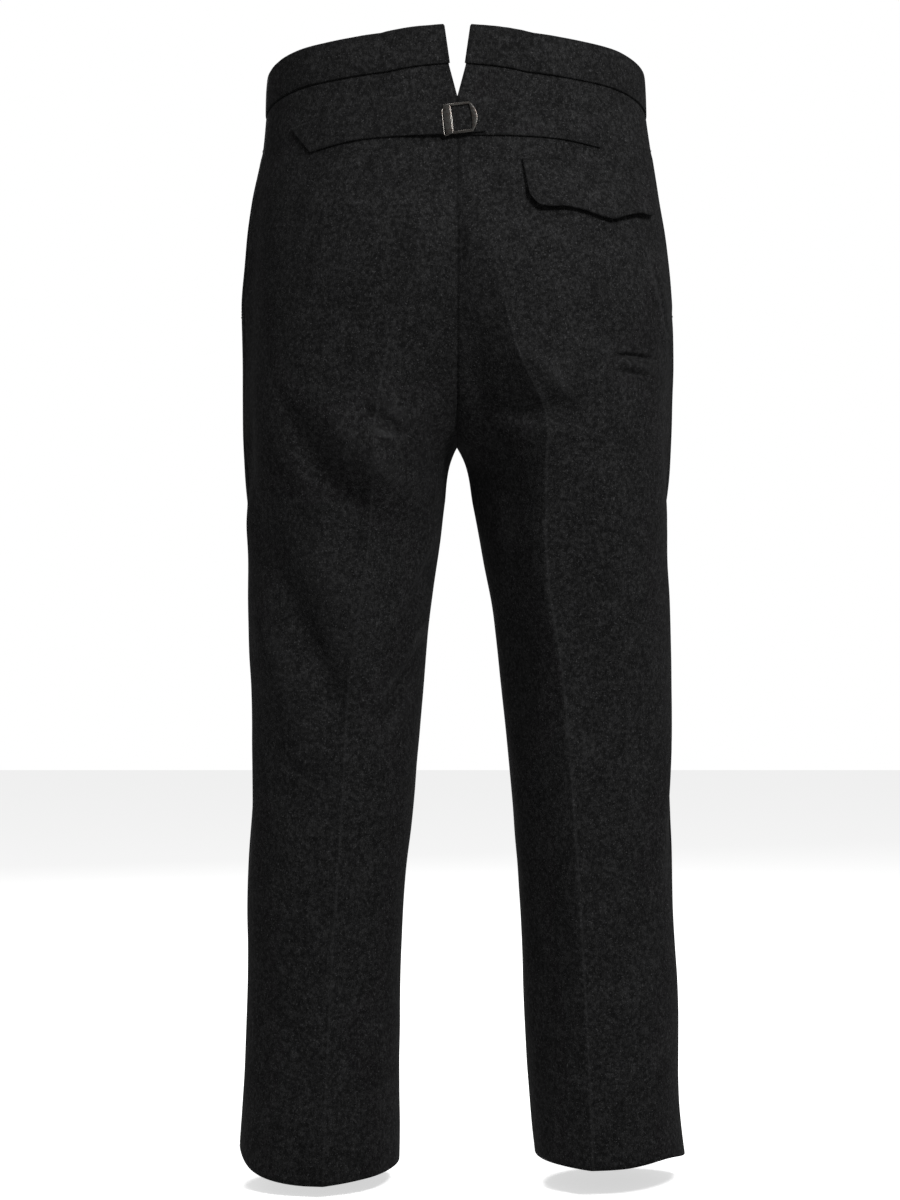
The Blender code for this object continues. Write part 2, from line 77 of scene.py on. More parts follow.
sections = tableOf("level out_left out_right in_left in_right back front"
                   " back_power front_power seat_power fork_power", [
    (0.065, 0.188, 0.187, -0.186, -0.185, 0.114, -0.112, 2.15, 2.3, 2.15, 2.3),
    (0.0, 0.19, 0.188, -0.182, -0.182, 0.117, -0.117, 2.15, 2.3, 2.2, 2.35),
    (-0.042, 0.194, 0.194, -0.17, -0.17, 0.122, -0.122, 2.2, 2.4, 2.3, 2.5),
    (-0.092, 0.205, 0.202, -0.144, -0.144, 0.131, -0.1265, 2.25, 2.5, 2.5, 2.7),
    (-0.142, 0.2105, 0.2095, -0.114, -0.114, 0.1395, -0.129, 2.3, 2.6, 2.7, 2.9),
    (-0.192, 0.2145, 0.2145, -0.084, -0.084, 0.145, -0.129, 2.3, 2.6, 2.9, 3.1),
    (-0.242, 0.215, 0.2155, -0.0545, -0.0545, 0.143, -0.1275, 2.32, 2.6, 3.05, 3.2),
    (-0.292, 0.2145, 0.215, -0.0255, -0.0255, 0.136, -0.124, 2.35, 2.55, 3.1, 3.2),
    (-0.322, 0.2138, 0.2142, -0.0075, -0.0075, 0.1292, -0.1213, 2.35, 2.51, 3.0, 3.1),
    (-0.334, 0.2135, 0.2138, 0.0, 0.0, 0.1262, -0.1201, 2.34, 2.49, 2.92, 3.03),
    (-0.346, 0.2132, 0.2134, 0.0055, 0.0065, 0.1232, -0.1189, 2.33, 2.46, 2.84, 2.95),
    (-0.393, 0.212, 0.212, 0.013, 0.017, 0.112, -0.114, 2.3, 2.35, 2.55, 2.65),
    (-0.442, 0.209, 0.211, 0.019, 0.026, 0.1035, -0.1085, 2.25, 2.3, 2.35, 2.4),
    (-0.492, 0.208, 0.213, 0.026, 0.035, 0.097, -0.102, 2.2, 2.25, 2.25, 2.3),
    (-0.592, 0.206, 0.215, 0.035, 0.046, 0.0885, -0.091, 2.2, 2.2, 2.2, 2.2),
    (-0.692, 0.206, 0.215, 0.044, 0.056, 0.083, -0.083, 2.2, 2.2, 2.2, 2.2),
    (-0.792, 0.209, 0.216, 0.053, 0.063, 0.081, -0.077, 2.2, 2.2, 2.2, 2.2),
    (-0.892, 0.21, 0.221, 0.057, 0.066, 0.081, -0.073, 2.2, 2.2, 2.2, 2.2),
    (-0.992, 0.214, 0.223, 0.058, 0.073, 0.082, -0.07, 2.2, 2.2, 2.2, 2.2),
    (-1.055, 0.218, 0.23, 0.058, 0.08, 0.083, -0.069, 2.2, 2.2, 2.2, 2.2),
])
pocketMouth = (-0.040, -0.205)                  # levels of its head and its foot
pocket = {"fade": 0.012, "deeper": 1.1, "lip": 0.0009, "lipReach": 0.006}
backQuarters = ("back_power", "seat_power")     # outer and inner quarter of a section
frontQuarters = ("front_power", "fork_power")

notch = tableOf("level half_width", [(-0.007, -0.0001), (0.023, 0.0078), (0.062, 0.0134)])

# around: 0 centre back, 0.5 back crease, 1 side seam, 1.5 front crease, 2 centre front
waistEdge = tableOf("around height", [
    (0.0, 0.062),
    (0.3, 0.059),
    (0.5, 0.055),
    (0.66, 0.0505),
    (0.8, 0.046),
    (0.9, 0.04),
    (1.0, 0.0325),
    (1.3, 0.0315),
    (2.0, 0.037),
])

hems = tableOf("around left right", [   # 0 and 2 the inseam, 1 the side seam
    (0.0, -1.044, -1.037),
    (0.3, -1.049, -1.037),
    (0.6, -1.053, -1.037),
    (0.8, -1.046, -1.032),
    (1.0, -1.028, -1.038),
    (1.5, -1.036, -1.034),
    (2.0, -1.044, -1.037),
])

# pressed creases: how far out they run, and how high they stand
creases = tableOf("level left right rise_left rise_right", [
    (0.065, 0.075, 0.075, 0.0, 0.0),
    (-0.06, 0.052, 0.05, 0.0, 0.0),
    (-0.14, 0.037, 0.031, 0.002, 0.0024),
    (-0.223, 0.059, 0.049, 0.0052, 0.0086),
    (-0.262, 0.069, 0.061, 0.0054, 0.011),
    (-0.305, 0.077, 0.082, 0.0044, 0.0106),
    (-0.374, 0.081, 0.0845, 0.0036, 0.0114),
    (-0.45, 0.087, 0.086, 0.0036, 0.0116),
    (-0.564, 0.104, 0.102, 0.0036, 0.0116),
    (-0.68, 0.111, 0.112, 0.0036, 0.0108),
    (-0.912, 0.125, 0.126, 0.0038, 0.0095),
    (-1.055, 0.13, 0.132, 0.004, 0.0085),
])
creaseReach = {"left": 0.016, "right": 0.031}
creaseLine = {"left": (0.0016, 0.0030), "right": (0.0008, 0.0030)}   # the pressed edge itself: height, reach
frontRise = 0.0062
centreHollow = {"level": -0.288, "down": 0.076, "across": 0.046, "depth": 0.0160,
                "behind": (0.02, 0.09)}   # over the fork; it fades in between these depths

uneven = {"slow": 0.0011, "slowCell": 0.085, "quick": 0.00035, "quickCell": 0.032, "from": (-0.02, 0.10)}

# Soft swellings and hollows, each an oval: its middle's x and level, its half sizes, its turn, its height
swells = tableOf("side face x level across down turn height", [
    # left: the cloth that hangs full under the seat, and the hollows round it
    (1, 1, 0.064, -0.349, 0.045, 0.031, -0.35, 0.0085),
    (1, 1, 0.036, -0.29, 0.026, 0.07, 0.16, -0.006),
    (1, 1, 0.062, -0.43, 0.036, 0.034, -0.3, -0.008),
    (1, 1, 0.185, -0.19, 0.06, 0.12, 0.0, -0.011),
    (1, 1, 0.1, -0.238, 0.068, 0.07, 0.0, -0.01),
    (1, 1, 0.135, -0.4, 0.06, 0.045, -0.5, -0.007),
    (1, 1, 0.026, -0.148, 0.032, 0.034, 0.0, 0.006),
    (1, 1, 0.19, -0.385, 0.042, 0.066, 0.1, -0.008),
    (1, 1, 0.07, -0.59, 0.026, 0.12, 0.16, 0.004),
    (1, 1, 0.17, -0.76, 0.03, 0.12, -0.1, 0.003),
    # right
    (-1, 1, 0.104, -0.262, 0.04, 0.034, 0.3, 0.0062),
    (-1, 1, 0.028, -0.152, 0.03, 0.032, 0.0, 0.0056),
    (-1, 1, 0.044, -0.372, 0.04, 0.048, 0.1, -0.012),
    (-1, 1, 0.172, -0.29, 0.05, 0.075, 0.0, -0.008),
    (-1, 1, 0.15, -0.42, 0.035, 0.12, 0.0, 0.003),
    # front: a little fullness beside the fly, and over the thighs
    (1, -1, 0.06, -0.19, 0.034, 0.05, 0.3, 0.004),
    (-1, -1, 0.066, -0.2, 0.034, 0.05, 0.3, 0.0034),
    (1, -1, 0.03, -0.29, 0.026, 0.03, 0.2, -0.005),
    (-1, -1, 0.03, -0.285, 0.026, 0.03, 0.2, -0.0046),
])

# Folds seen from behind (face 1), from the front (-1) and from the side (0, where x is the depth).
folds = tableOf("side face from_x from_level to_x to_level bow width height", [
    # left seat and under it
    (1, 1, 0.124, -0.292, 0.05, -0.376, 0.01, 0.017, 0.006),
    (1, 1, 0.176, -0.288, 0.074, -0.408, 0.014, 0.0165, -0.01),
    (1, 1, 0.092, -0.3, 0.04, -0.33, 0.005, 0.0066, -0.005),
    (1, 1, 0.072, -0.29, 0.034, -0.318, 0.004, 0.009, 0.0028),
    (1, 1, 0.086, -0.316, 0.052, -0.338, 0.004, 0.008, 0.0022),
    (1, 1, 0.034, -0.322, 0.018, -0.338, 0.002, 0.006, 0.0016),
    (1, 1, 0.21, -0.39, 0.098, -0.63, 0.0, 0.017, -0.009),
    (1, 1, 0.146, -0.395, 0.088, -0.575, 0.002, 0.02, 0.005),
    (1, 1, 0.2, -0.485, 0.122, -0.69, 0.002, 0.017, 0.004),
    (1, 1, 0.014, -0.402, 0.042, -0.474, -0.002, 0.004, 0.003),
    (1, 1, 0.02, -0.43, 0.044, -0.5, -0.002, 0.008, -0.0044),
    (1, 1, 0.024, -0.494, 0.076, -0.588, -0.003, 0.0042, 0.0034),
    (1, 1, 0.034, -0.524, 0.08, -0.612, -0.003, 0.01, -0.0064),
    (1, 1, 0.04, -0.69, 0.058, -0.76, 0.004, 0.018, -0.0022),
    (1, 1, 0.172, -0.76, 0.182, -0.96, 0.006, 0.022, -0.0024),
    # right seat and under it
    (-1, 1, 0.016, -0.297, 0.112, -0.306, -0.004, 0.012, -0.007),
    (-1, 1, 0.058, -0.252, 0.11, -0.296, 0.003, 0.013, 0.0068),
    (-1, 1, 0.044, -0.35, 0.064, -0.64, 0.004, 0.02, -0.0056),
    (-1, 1, 0.078, -0.66, 0.088, -0.93, 0.004, 0.018, -0.003),
    (-1, 1, 0.19, -0.56, 0.168, -0.9, 0.006, 0.024, -0.0032),
    # the tuck beside the right side pocket, and the pocket's mouth above it
    (-1, 1, 0.147, -0.2542, 0.202, -0.2545, 0.0016, 0.002, -0.0046),
    (-1, 1, 0.147, -0.2668, 0.2, -0.271, -0.001, 0.0022, -0.003),
    (-1, 1, 0.1985, -0.256, 0.1985, -0.27, 0.0, 0.0014, -0.0016),
    (-1, 1, 0.154, -0.2605, 0.196, -0.263, 0.0, 0.0042, 0.0026),
    (-1, 1, 0.1815, -0.148, 0.211, -0.256, 0.001, 0.0026, 0.0034),
    (-1, 1, 0.188, -0.15, 0.2145, -0.252, 0.001, 0.0024, -0.0046),
    # front: breaks at the top of the thighs and over the knees
    (1, -1, 0.012, -0.245, 0.11, -0.205, 0.006, 0.017, -0.0036),
    (1, -1, 0.016, -0.275, 0.085, -0.262, 0.004, 0.013, -0.0022),
    (-1, -1, 0.014, -0.238, 0.118, -0.192, 0.008, 0.018, -0.0038),
    (-1, -1, 0.02, -0.282, 0.078, -0.258, 0.003, 0.012, -0.002),
    (1, -1, 0.15, -0.56, 0.06, -0.62, 0.006, 0.016, -0.003),
    (-1, -1, 0.16, -0.59, 0.078, -0.63, 0.004, 0.015, -0.0028),
    (1, -1, 0.186, -0.38, 0.15, -0.62, 0.01, 0.02, -0.0034),
    (-1, -1, 0.188, -0.4, 0.16, -0.6, 0.008, 0.02, -0.003),
    (1, -1, 0.09, -0.955, 0.19, -0.985, 0.004, 0.015, -0.0026),
    (-1, -1, 0.2, -0.95, 0.11, -0.99, 0.004, 0.016, -0.0028),
    # outer sides
    (1, 0, 0.06, -0.3, -0.03, -0.42, 0.01, 0.015, -0.003),
    (1, 0, -0.04, -0.56, 0.02, -0.76, 0.012, 0.017, -0.003),
    (-1, 0, 0.05, -0.33, -0.04, -0.43, 0.008, 0.015, -0.0028),
    (-1, 0, -0.03, -0.6, 0.03, -0.78, 0.01, 0.017, -0.0032),
])


def smoothAt(at, places, values):
    # a smooth curve through the rows of a table
    order = np.argsort(places)
    x, y = places[order], values[order]
    slope = np.gradient(y, x)
    at = np.clip(at, x[0], x[-1])
    i = np.clip(np.searchsorted(x, at) - 1, 0, len(x) - 2)
    width = x[i + 1] - x[i]
    t = (at - x[i]) / width
    rise = slope[i] * width * t * (1 - t) ** 2 + slope[i + 1] * width * t * t * (t - 1)
    return y[i] * (1 + 2 * t) * (1 - t) ** 2 + y[i + 1] * t * t * (3 - 2 * t) + rise


def fadeBetween(value, start, stop):
    t = np.clip((value - start) / (stop - start), 0, 1)
    return t * t * (3 - 2 * t)


def bellOf(value, reach):
    return np.exp(-((value / reach) ** 2))


def signedPower(value, power):
    return np.sign(value) * np.abs(value) ** power


def sectionAt(side, level):
    hand = handOf[side]
    out = smoothAt(level, sections["level"], sections[f"out_{hand}"])
    inner = smoothAt(level, sections["level"], sections[f"in_{hand}"])
    size = {name: smoothAt(level, sections["level"], sections[name])
            for name in ("back", "front", *backQuarters, *frontQuarters)}
    size["middle"] = (out + inner) / 2
    size["half"] = (out - inner) / 2
    size["crease"] = smoothAt(level, creases["level"], creases[hand])
    return size


def ringPoint(size, angle):
    # 0 is the outer side of the leg, a quarter turn its back
    behind, inside = np.sin(angle) > 0, np.cos(angle) < 0
    backs, fronts = (np.where(inside, size[inner], size[outer])
                     for outer, inner in (backQuarters, frontQuarters))
    power = np.where(behind, backs, fronts)
    depth = np.where(behind, size["back"], -size["front"])
    x = size["middle"] + size["half"] * signedPower(np.cos(angle), 2 / power)
    return x, depth * signedPower(np.sin(angle), 2 / power)


def angleAt(size, x, outer, inner):
    share = np.clip((x - size["middle"]) / size["half"], -1, 1)
    power = np.where(share < 0, size[inner], size[outer])
    return np.arccos(signedPower(share, power / 2))


def cloudsAt(u, v, cell, seed):
    # soft unevenness between -1 and 1, one random value a cell
    grid = np.random.default_rng(seed).uniform(-1, 1, (64, 64))
    u, v = u / cell + 20, v / cell + 40
    iu, iv = np.floor(u).astype(int), np.floor(v).astype(int)
    fu, fv = fadeBetween(u - iu, 0, 1), fadeBetween(v - iv, 0, 1)
    corner = [grid[(iu + a) % 64, (iv + b) % 64] for a in (0, 1) for b in (0, 1)]
    return (corner[0] * (1 - fv) + corner[1] * fv) * (1 - fu) + (corner[2] * (1 - fv) + corner[3] * fv) * fu


def rowsOf(table, side):
    rows = (dict(zip(table, row)) for row in zip(*table.values()))
    return [row for row in rows if row["side"] == side]


def reliefAt(side, x, y, level):
    # creases, folds and unevenness, as a lift off the plain section
    hand = handOf[side]
    behind, before = fadeBetween(y, 0.0, 0.05), fadeBetween(-y, 0.0, 0.05)
    rise = smoothAt(level, creases["level"], creases[f"rise_{hand}"])
    off = x - smoothAt(level, creases["level"], creases[hand])
    off = np.sqrt(off**2 + bodySizes["creaseRound"] ** 2)
    ridge = 1.2 * np.exp(-off / creaseReach[hand]) - 0.2
    total = rise * ridge * behind + frontRise * fadeBetween(-level, 0.05, 0.25) * ridge * before
    height, reach = creaseLine[hand]
    total += height * fadeBetween(-level, 0.13, 0.22) * np.exp(-off / reach) * np.maximum(behind, before)
    weights = {1: behind, -1: before, 0: fadeBetween(x, 0.12, 0.17)}
    for swell in rowsOf(swells, side):
        place = y if swell["face"] == 0 else x
        dx, dz = place - swell["x"], level - swell["level"]
        c, t = math.cos(swell["turn"]), math.sin(swell["turn"])
        far = ((dx * c - dz * t) / swell["across"]) ** 2 + ((dx * t + dz * c) / swell["down"]) ** 2
        total += weights[int(swell["face"])] * swell["height"] * np.exp(-far)
    for fold in rowsOf(folds, side):
        place = y if fold["face"] == 0 else x
        start = np.array([fold["from_x"], fold["from_level"]])
        stop = np.array([fold["to_x"], fold["to_level"]])
        run = stop - start
        bend = (start + stop) / 2 + fold["bow"] * 2 * np.array([-run[1], run[0]]) / np.hypot(*run)
        reach = fold["width"] * 3
        near = (level < max(start[1], stop[1]) + reach) & (level > min(start[1], stop[1]) - reach)
        px, pz = place[near], level[near]
        share = np.zeros(px.shape)
        last, steps = start, 20
        for k in range(1, steps + 1):
            t = k / steps
            at = start * (1 - t) ** 2 + 2 * bend * t * (1 - t) + stop * t * t
            step = at - last
            along = ((px - last[0]) * step[0] + (pz - last[1]) * step[1]) / max(step @ step, 1e-12)
            along = np.clip(along, 0, 1)
            away = np.hypot(px - last[0] - along * step[0], pz - last[1] - along * step[1])
            # a fold is deepest along its middle and runs out thin at its ends
            full = np.sin(np.pi * (k - 1 + along) / steps) ** 0.7
            share = np.maximum(share, full * bellOf(away, fold["width"] * (0.5 + 0.5 * full)))
            last = at
        total[near] += weights[int(fold["face"])][near] * fold["height"] * share
    n = uneven
    slow = cloudsAt(x + 0.5 * y, level, n["slowCell"], 3 + side) * n["slow"]
    quick = cloudsAt(x + 0.6 * y, level + 0.3 * x, n["quickCell"], 11 + side) * n["quick"]
    return total + (slow + quick) * fadeBetween(-level, *n["from"])


def hollowAt(x, y, level):
    # the cloth sinks in towards the fork, the same on both sides of the centre seam
    h = centreHollow
    share = np.exp(-((x / h["across"]) ** 2) - ((level - h["level"]) / h["down"]) ** 2)
    return h["depth"] * share * fadeBetween(y, *h["behind"])


def raisedAt(side, size, angle, level, out, dip=0.0):
    # points at these angles, moved out by the relief and by out, and straight back by dip near the centre
    x, y = ringPoint(size, angle)
    ahead, behind = ringPoint(size, angle + 1e-4), ringPoint(size, angle - 1e-4)
    normal = np.stack([ahead[1] - behind[1], behind[0] - ahead[0]])
    normal /= np.maximum(np.hypot(*normal), 1e-12)
    # unevenness dies away at the centre plane, where the two sides meet
    lift = reliefAt(side, x, y, level) * fadeBetween(x, 0.0, 0.012) + out
    dip = dip + hollowAt(x, y, level)
    overlap = bodySizes["seamOverlap"]
    centre = np.where(y > 0, np.interp(level, notch["level"], notch["half_width"]), -overlap)
    aside = np.where(normal[0] < 0, fadeBetween(x, 0.004, 0.020), 1.0)
    px = np.maximum(x + (lift - dip * aside) * normal[0], np.minimum(x, centre))
    return np.stack([side * px, y + (lift - dip) * normal[1], level + 0 * x], -1)


def openAt(level):
    # 1 along the pocket's mouth, 0 above and below it
    (top, foot), fade = pocketMouth, pocket["fade"]
    return fadeBetween(-level, -top, fade - top) * (1 - fadeBetween(-level, -foot - fade, -foot))


def skinAt(side, around, level, out=0.0, groove=0.0, steps=36):
    # the outer face of the cloth, moved out by out; it dips by groove into each seam
    around, level, out = np.broadcast_arrays(*map(np.asarray, (around, level, out)))
    size = sectionAt(side, level)
    overlap = bodySizes["seamOverlap"]
    opening = np.interp(level, notch["level"], notch["half_width"])
    stops = np.stack([
        angleAt(size, opening, *backQuarters),
        angleAt(size, size["crease"], *backQuarters),
        np.full(level.shape, bodySizes["sideSeamAngle"]),
        -angleAt(size, size["crease"], *frontQuarters),
        -angleAt(size, -overlap, *frontQuarters),
    ])
    part = np.clip((around * 2).astype(int), 0, 3)
    start, stop = (np.take_along_axis(stops, part[None] + k, 0)[0] for k in (0, 1))
    angles = start[..., None] + (stop - start)[..., None] * np.linspace(0, 1, steps + 1)
    x, y = ringPoint({name: value[..., None] for name, value in size.items()}, angles)
    lengths = np.hypot(np.diff(x), np.diff(y)).cumsum(-1)
    lengths = np.concatenate([np.zeros(lengths.shape[:-1] + (1,)), lengths], -1)
    whole = lengths[..., -1]
    least = np.where((part == 2) | ((part == 0) & (start > math.pi - 1e-4)), -overlap, 0)
    most = whole + np.where((part == 1) | ((part == 3) & (stop < 1e-4 - math.pi)), overlap, 0)
    wanted = least + (around * 2 - part) * (most - least)
    i = np.clip((lengths < wanted[..., None]).sum(-1) - 1, 0, steps - 1)
    low, high = (np.take_along_axis(lengths, i[..., None] + k, -1)[..., 0] for k in (0, 1))
    angle = start + (stop - start) * (i + (wanted - low) / np.maximum(high - low, 1e-9)) / steps
    toSeam = np.where(part % 2 == 0, wanted, whole - wanted)
    sewn = np.where((part == 0) & (level > -0.012), 0, 1)
    # the side seam stands open as the pocket's mouth for a hand's length
    mouth = np.where((part == 1) | (part == 2), 1, 0) * openAt(level)
    dip = groove * sewn * (1 + pocket["deeper"] * mouth) * bellOf(toSeam, bodySizes["grooveWidth"])
    out = out + pocket["lip"] * mouth * bellOf(toSeam - pocket["lipReach"], pocket["lipReach"])
    return raisedAt(side, size, angle, level, out, dip)


def faceAt(x, level, out=0.0, front=False):
    # points out from the back or the front, by their distance from the centre plane
    x, level, out = np.broadcast_arrays(*map(np.asarray, (x, level, out)))
    points = np.zeros(x.shape + (3,))
    for side in handOf:
        here = (x > 0) == (side > 0)
        size = sectionAt(side, level[here])
        quarters = frontQuarters if front else backQuarters
        angle = angleAt(size, np.abs(x[here]), *quarters) * (-1 if front else 1)
        points[here] = raisedAt(side, size, angle, level[here], out[here])
    return points


def waistLevel(around):
    return smoothAt(around, waistEdge["around"], waistEdge["height"])


def spacedBy(stops, counts, crowd=0.0):
    # steps between each two stops, crowded towards both ends of each run
    runs = []
    for a, b, n in zip(stops, stops[1:], counts):
        t = np.arange(n) / n
        runs.append(a + (b - a) * (t - crowd * np.sin(2 * np.pi * t) / (2 * np.pi)))
    return np.append(np.concatenate(runs), stops[-1])


def linked(name, data):
    made = bpy.data.objects.new(name, data)
    bpy.context.scene.collection.objects.link(made)
    return made


def evaluatedMesh(holder):
    # the mesh that a curve or a modifier makes; its holder goes
    graph = bpy.context.evaluated_depsgraph_get()
    mesh = bpy.data.meshes.new_from_object(holder.evaluated_get(graph))
    bpy.data.objects.remove(holder)
    return mesh


# Mesh of one piece of cloth
def clothMesh(name, outer, inner, material, turned=False, bulge=(0, 0, 0, 0), rimSteps=3, worn=None):
    # a closed wall between two grids of points, with its rim rounded by bulge: top, end, bottom, start
    rows, across = outer.shape[:2]
    index = np.arange(rows * across).reshape(rows, across)
    quads = np.stack([index[:-1, :-1], index[:-1, 1:], index[1:, 1:], index[1:, :-1]], -1).reshape(-1, 4)
    border = np.concatenate([index[0, :-1], index[:-1, -1], index[-1, :0:-1], index[:0:-1, 0]])
    inward = np.concatenate([index[1, :-1], index[:-1, -2], index[-2, :0:-1], index[:0:-1, 1]])
    swell = np.concatenate([np.full(n, b) for n, b in zip((across - 1, rows - 1) * 2, bulge)])
    flatOuter, flatInner = outer.reshape(-1, 3), inner.reshape(-1, 3)
    away = flatOuter[border] - flatOuter[inward]
    away /= np.maximum(np.linalg.norm(away, axis=1, keepdims=True), 1e-9)
    shares = np.linspace(0, 1, rimSteps + 2)[1:-1]
    rims = [flatOuter[border] * (1 - t) + flatInner[border] * t
            + away * (swell * math.sin(math.pi * t))[:, None] for t in shares]
    points = np.concatenate([flatOuter, flatInner, *rims])
    total = rows * across
    rings = [border] + [2 * total + k * len(border) + np.arange(len(border)) for k in range(rimSteps)]
    rings.append(border + total)
    faces = [quads, quads[:, ::-1] + total]
    for one, two in zip(rings, rings[1:]):
        faces.append(np.stack([one, two, np.roll(two, -1), np.roll(one, -1)], -1))
    faces = np.concatenate(faces)
    if turned:
        faces = faces[:, ::-1]
    mesh = bpy.data.meshes.new(name)
    mesh.vertices.add(len(points))
    mesh.vertices.foreach_set("co", points.ravel())
    mesh.loops.add(faces.size)
    mesh.loops.foreach_set("vertex_index", faces.ravel())
    mesh.polygons.add(len(faces))
    mesh.polygons.foreach_set("loop_start", np.arange(len(faces)) * 4)
    mesh.update(calc_edges=True)
    # the cloth's own coordinates, in metres, and how near a point is to the piece's edge
    u = np.append(0, np.linalg.norm(np.diff(outer, axis=1), axis=2).mean(0).cumsum())
    v = np.append(0, np.linalg.norm(np.diff(outer, axis=0), axis=2).mean(1).cumsum())
    uv = np.stack(np.broadcast_arrays(u[None], -v[:, None]), -1).reshape(-1, 2)
    uv = np.concatenate([uv, uv, *[uv[border]] * rimSteps])
    layer = mesh.uv_layers.new(name="cloth")
    layer.data.foreach_set("uv", uv[faces.ravel()].ravel())
    edge = np.minimum(np.minimum(u, u[-1] - u)[None], np.minimum(v, v[-1] - v)[:, None]).ravel()
    edge = np.concatenate([edge, edge, np.zeros(len(border) * rimSteps)])
    marks = {"edge": np.exp(-edge / bodySizes["edgeReach"])}
    # a value per point: painted highlight on ridges, painted shade in folds
    if worn is not None:
        marks["worn"] = np.zeros(len(points))
        marks["worn"][:total] = worn.ravel()
    for key, values in marks.items():
        mesh.attributes.new(key, "FLOAT", "POINT").data.foreach_set("value", values)
    mesh.shade_smooth()
    mesh.materials.append(material)
    return linked(name, mesh)


# Materials
def socketsOf(tree, ins, outs):
    # a row for each input: its name, its kind and its value, where it has one
    for name, kind, *value in ins:
        socket = tree.interface.new_socket(name, in_out="INPUT", socket_type="NodeSocket" + kind)
        if value:
            socket.default_value = value[0]
    for name, kind in outs:
        tree.interface.new_socket(name, in_out="OUTPUT", socket_type="NodeSocket" + kind)
    return tree.nodes.new("NodeGroupInput"), tree.nodes.new("NodeGroupOutput")


def joined(tree, *pairs):
    for out, into in pairs:
        tree.links.new(out, into)


def feed(tree, socket, value):
    # a number or colour is set, and another node's output is linked
    if hasattr(value, "links"):
        tree.links.new(value, socket)
    else:
        socket.default_value = value


def mathNode(tree, operation, *values):
    node = tree.nodes.new("ShaderNodeMath")
    node.operation = operation
    for socket, value in zip(node.inputs, values):
        feed(tree, socket, value)
    return node.outputs[0]


def noiseNode(tree, vector, scale, detail=2.0, rough=0.5, stretch=None):
    node = tree.nodes.new("ShaderNodeTexNoise")
    node.inputs["Detail"].default_value = detail
    node.inputs["Roughness"].default_value = rough
    feed(tree, node.inputs["Scale"], scale)
    if stretch:
        mapping = tree.nodes.new("ShaderNodeMapping")
        mapping.inputs["Scale"].default_value = stretch
        tree.links.new(vector, mapping.inputs["Vector"])
        vector = mapping.outputs["Vector"]
    tree.links.new(vector, node.inputs["Vector"])
    return node.outputs["Fac"]


def rangeNode(tree, value, low, high, toLow, toHigh):
    node = tree.nodes.new("ShaderNodeMapRange")
    node.interpolation_type = "SMOOTHSTEP"
    tree.links.new(value, node.inputs["Value"])
    for name, number in (("From Min", low), ("From Max", high), ("To Min", toLow), ("To Max", toHigh)):
        feed(tree, node.inputs[name], number)
    return node.outputs["Result"]


def mixNode(tree, share, first, second):
    node = tree.nodes.new("ShaderNodeMix")
    node.data_type = "RGBA"
    for name, value in (("Factor_Float", share), ("A_Color", first), ("B_Color", second)):
        feed(tree, next(s for s in node.inputs if s.identifier == name), value)
    return next(s for s in node.outputs if s.identifier == "Result_Color")


def finishGroup(name, *rows):
    # a shared finish: its place and the rows' values go in, colour, height and roughness come out
    tree = bpy.data.node_groups.new(name, "ShaderNodeTree")
    ins, outs = socketsOf(tree, [("Vector", "Vector"), *rows],
                          [("Color", "Color"), ("Height", "Float"), ("Roughness", "Float")])
    return tree, ins.outputs, outs.inputs


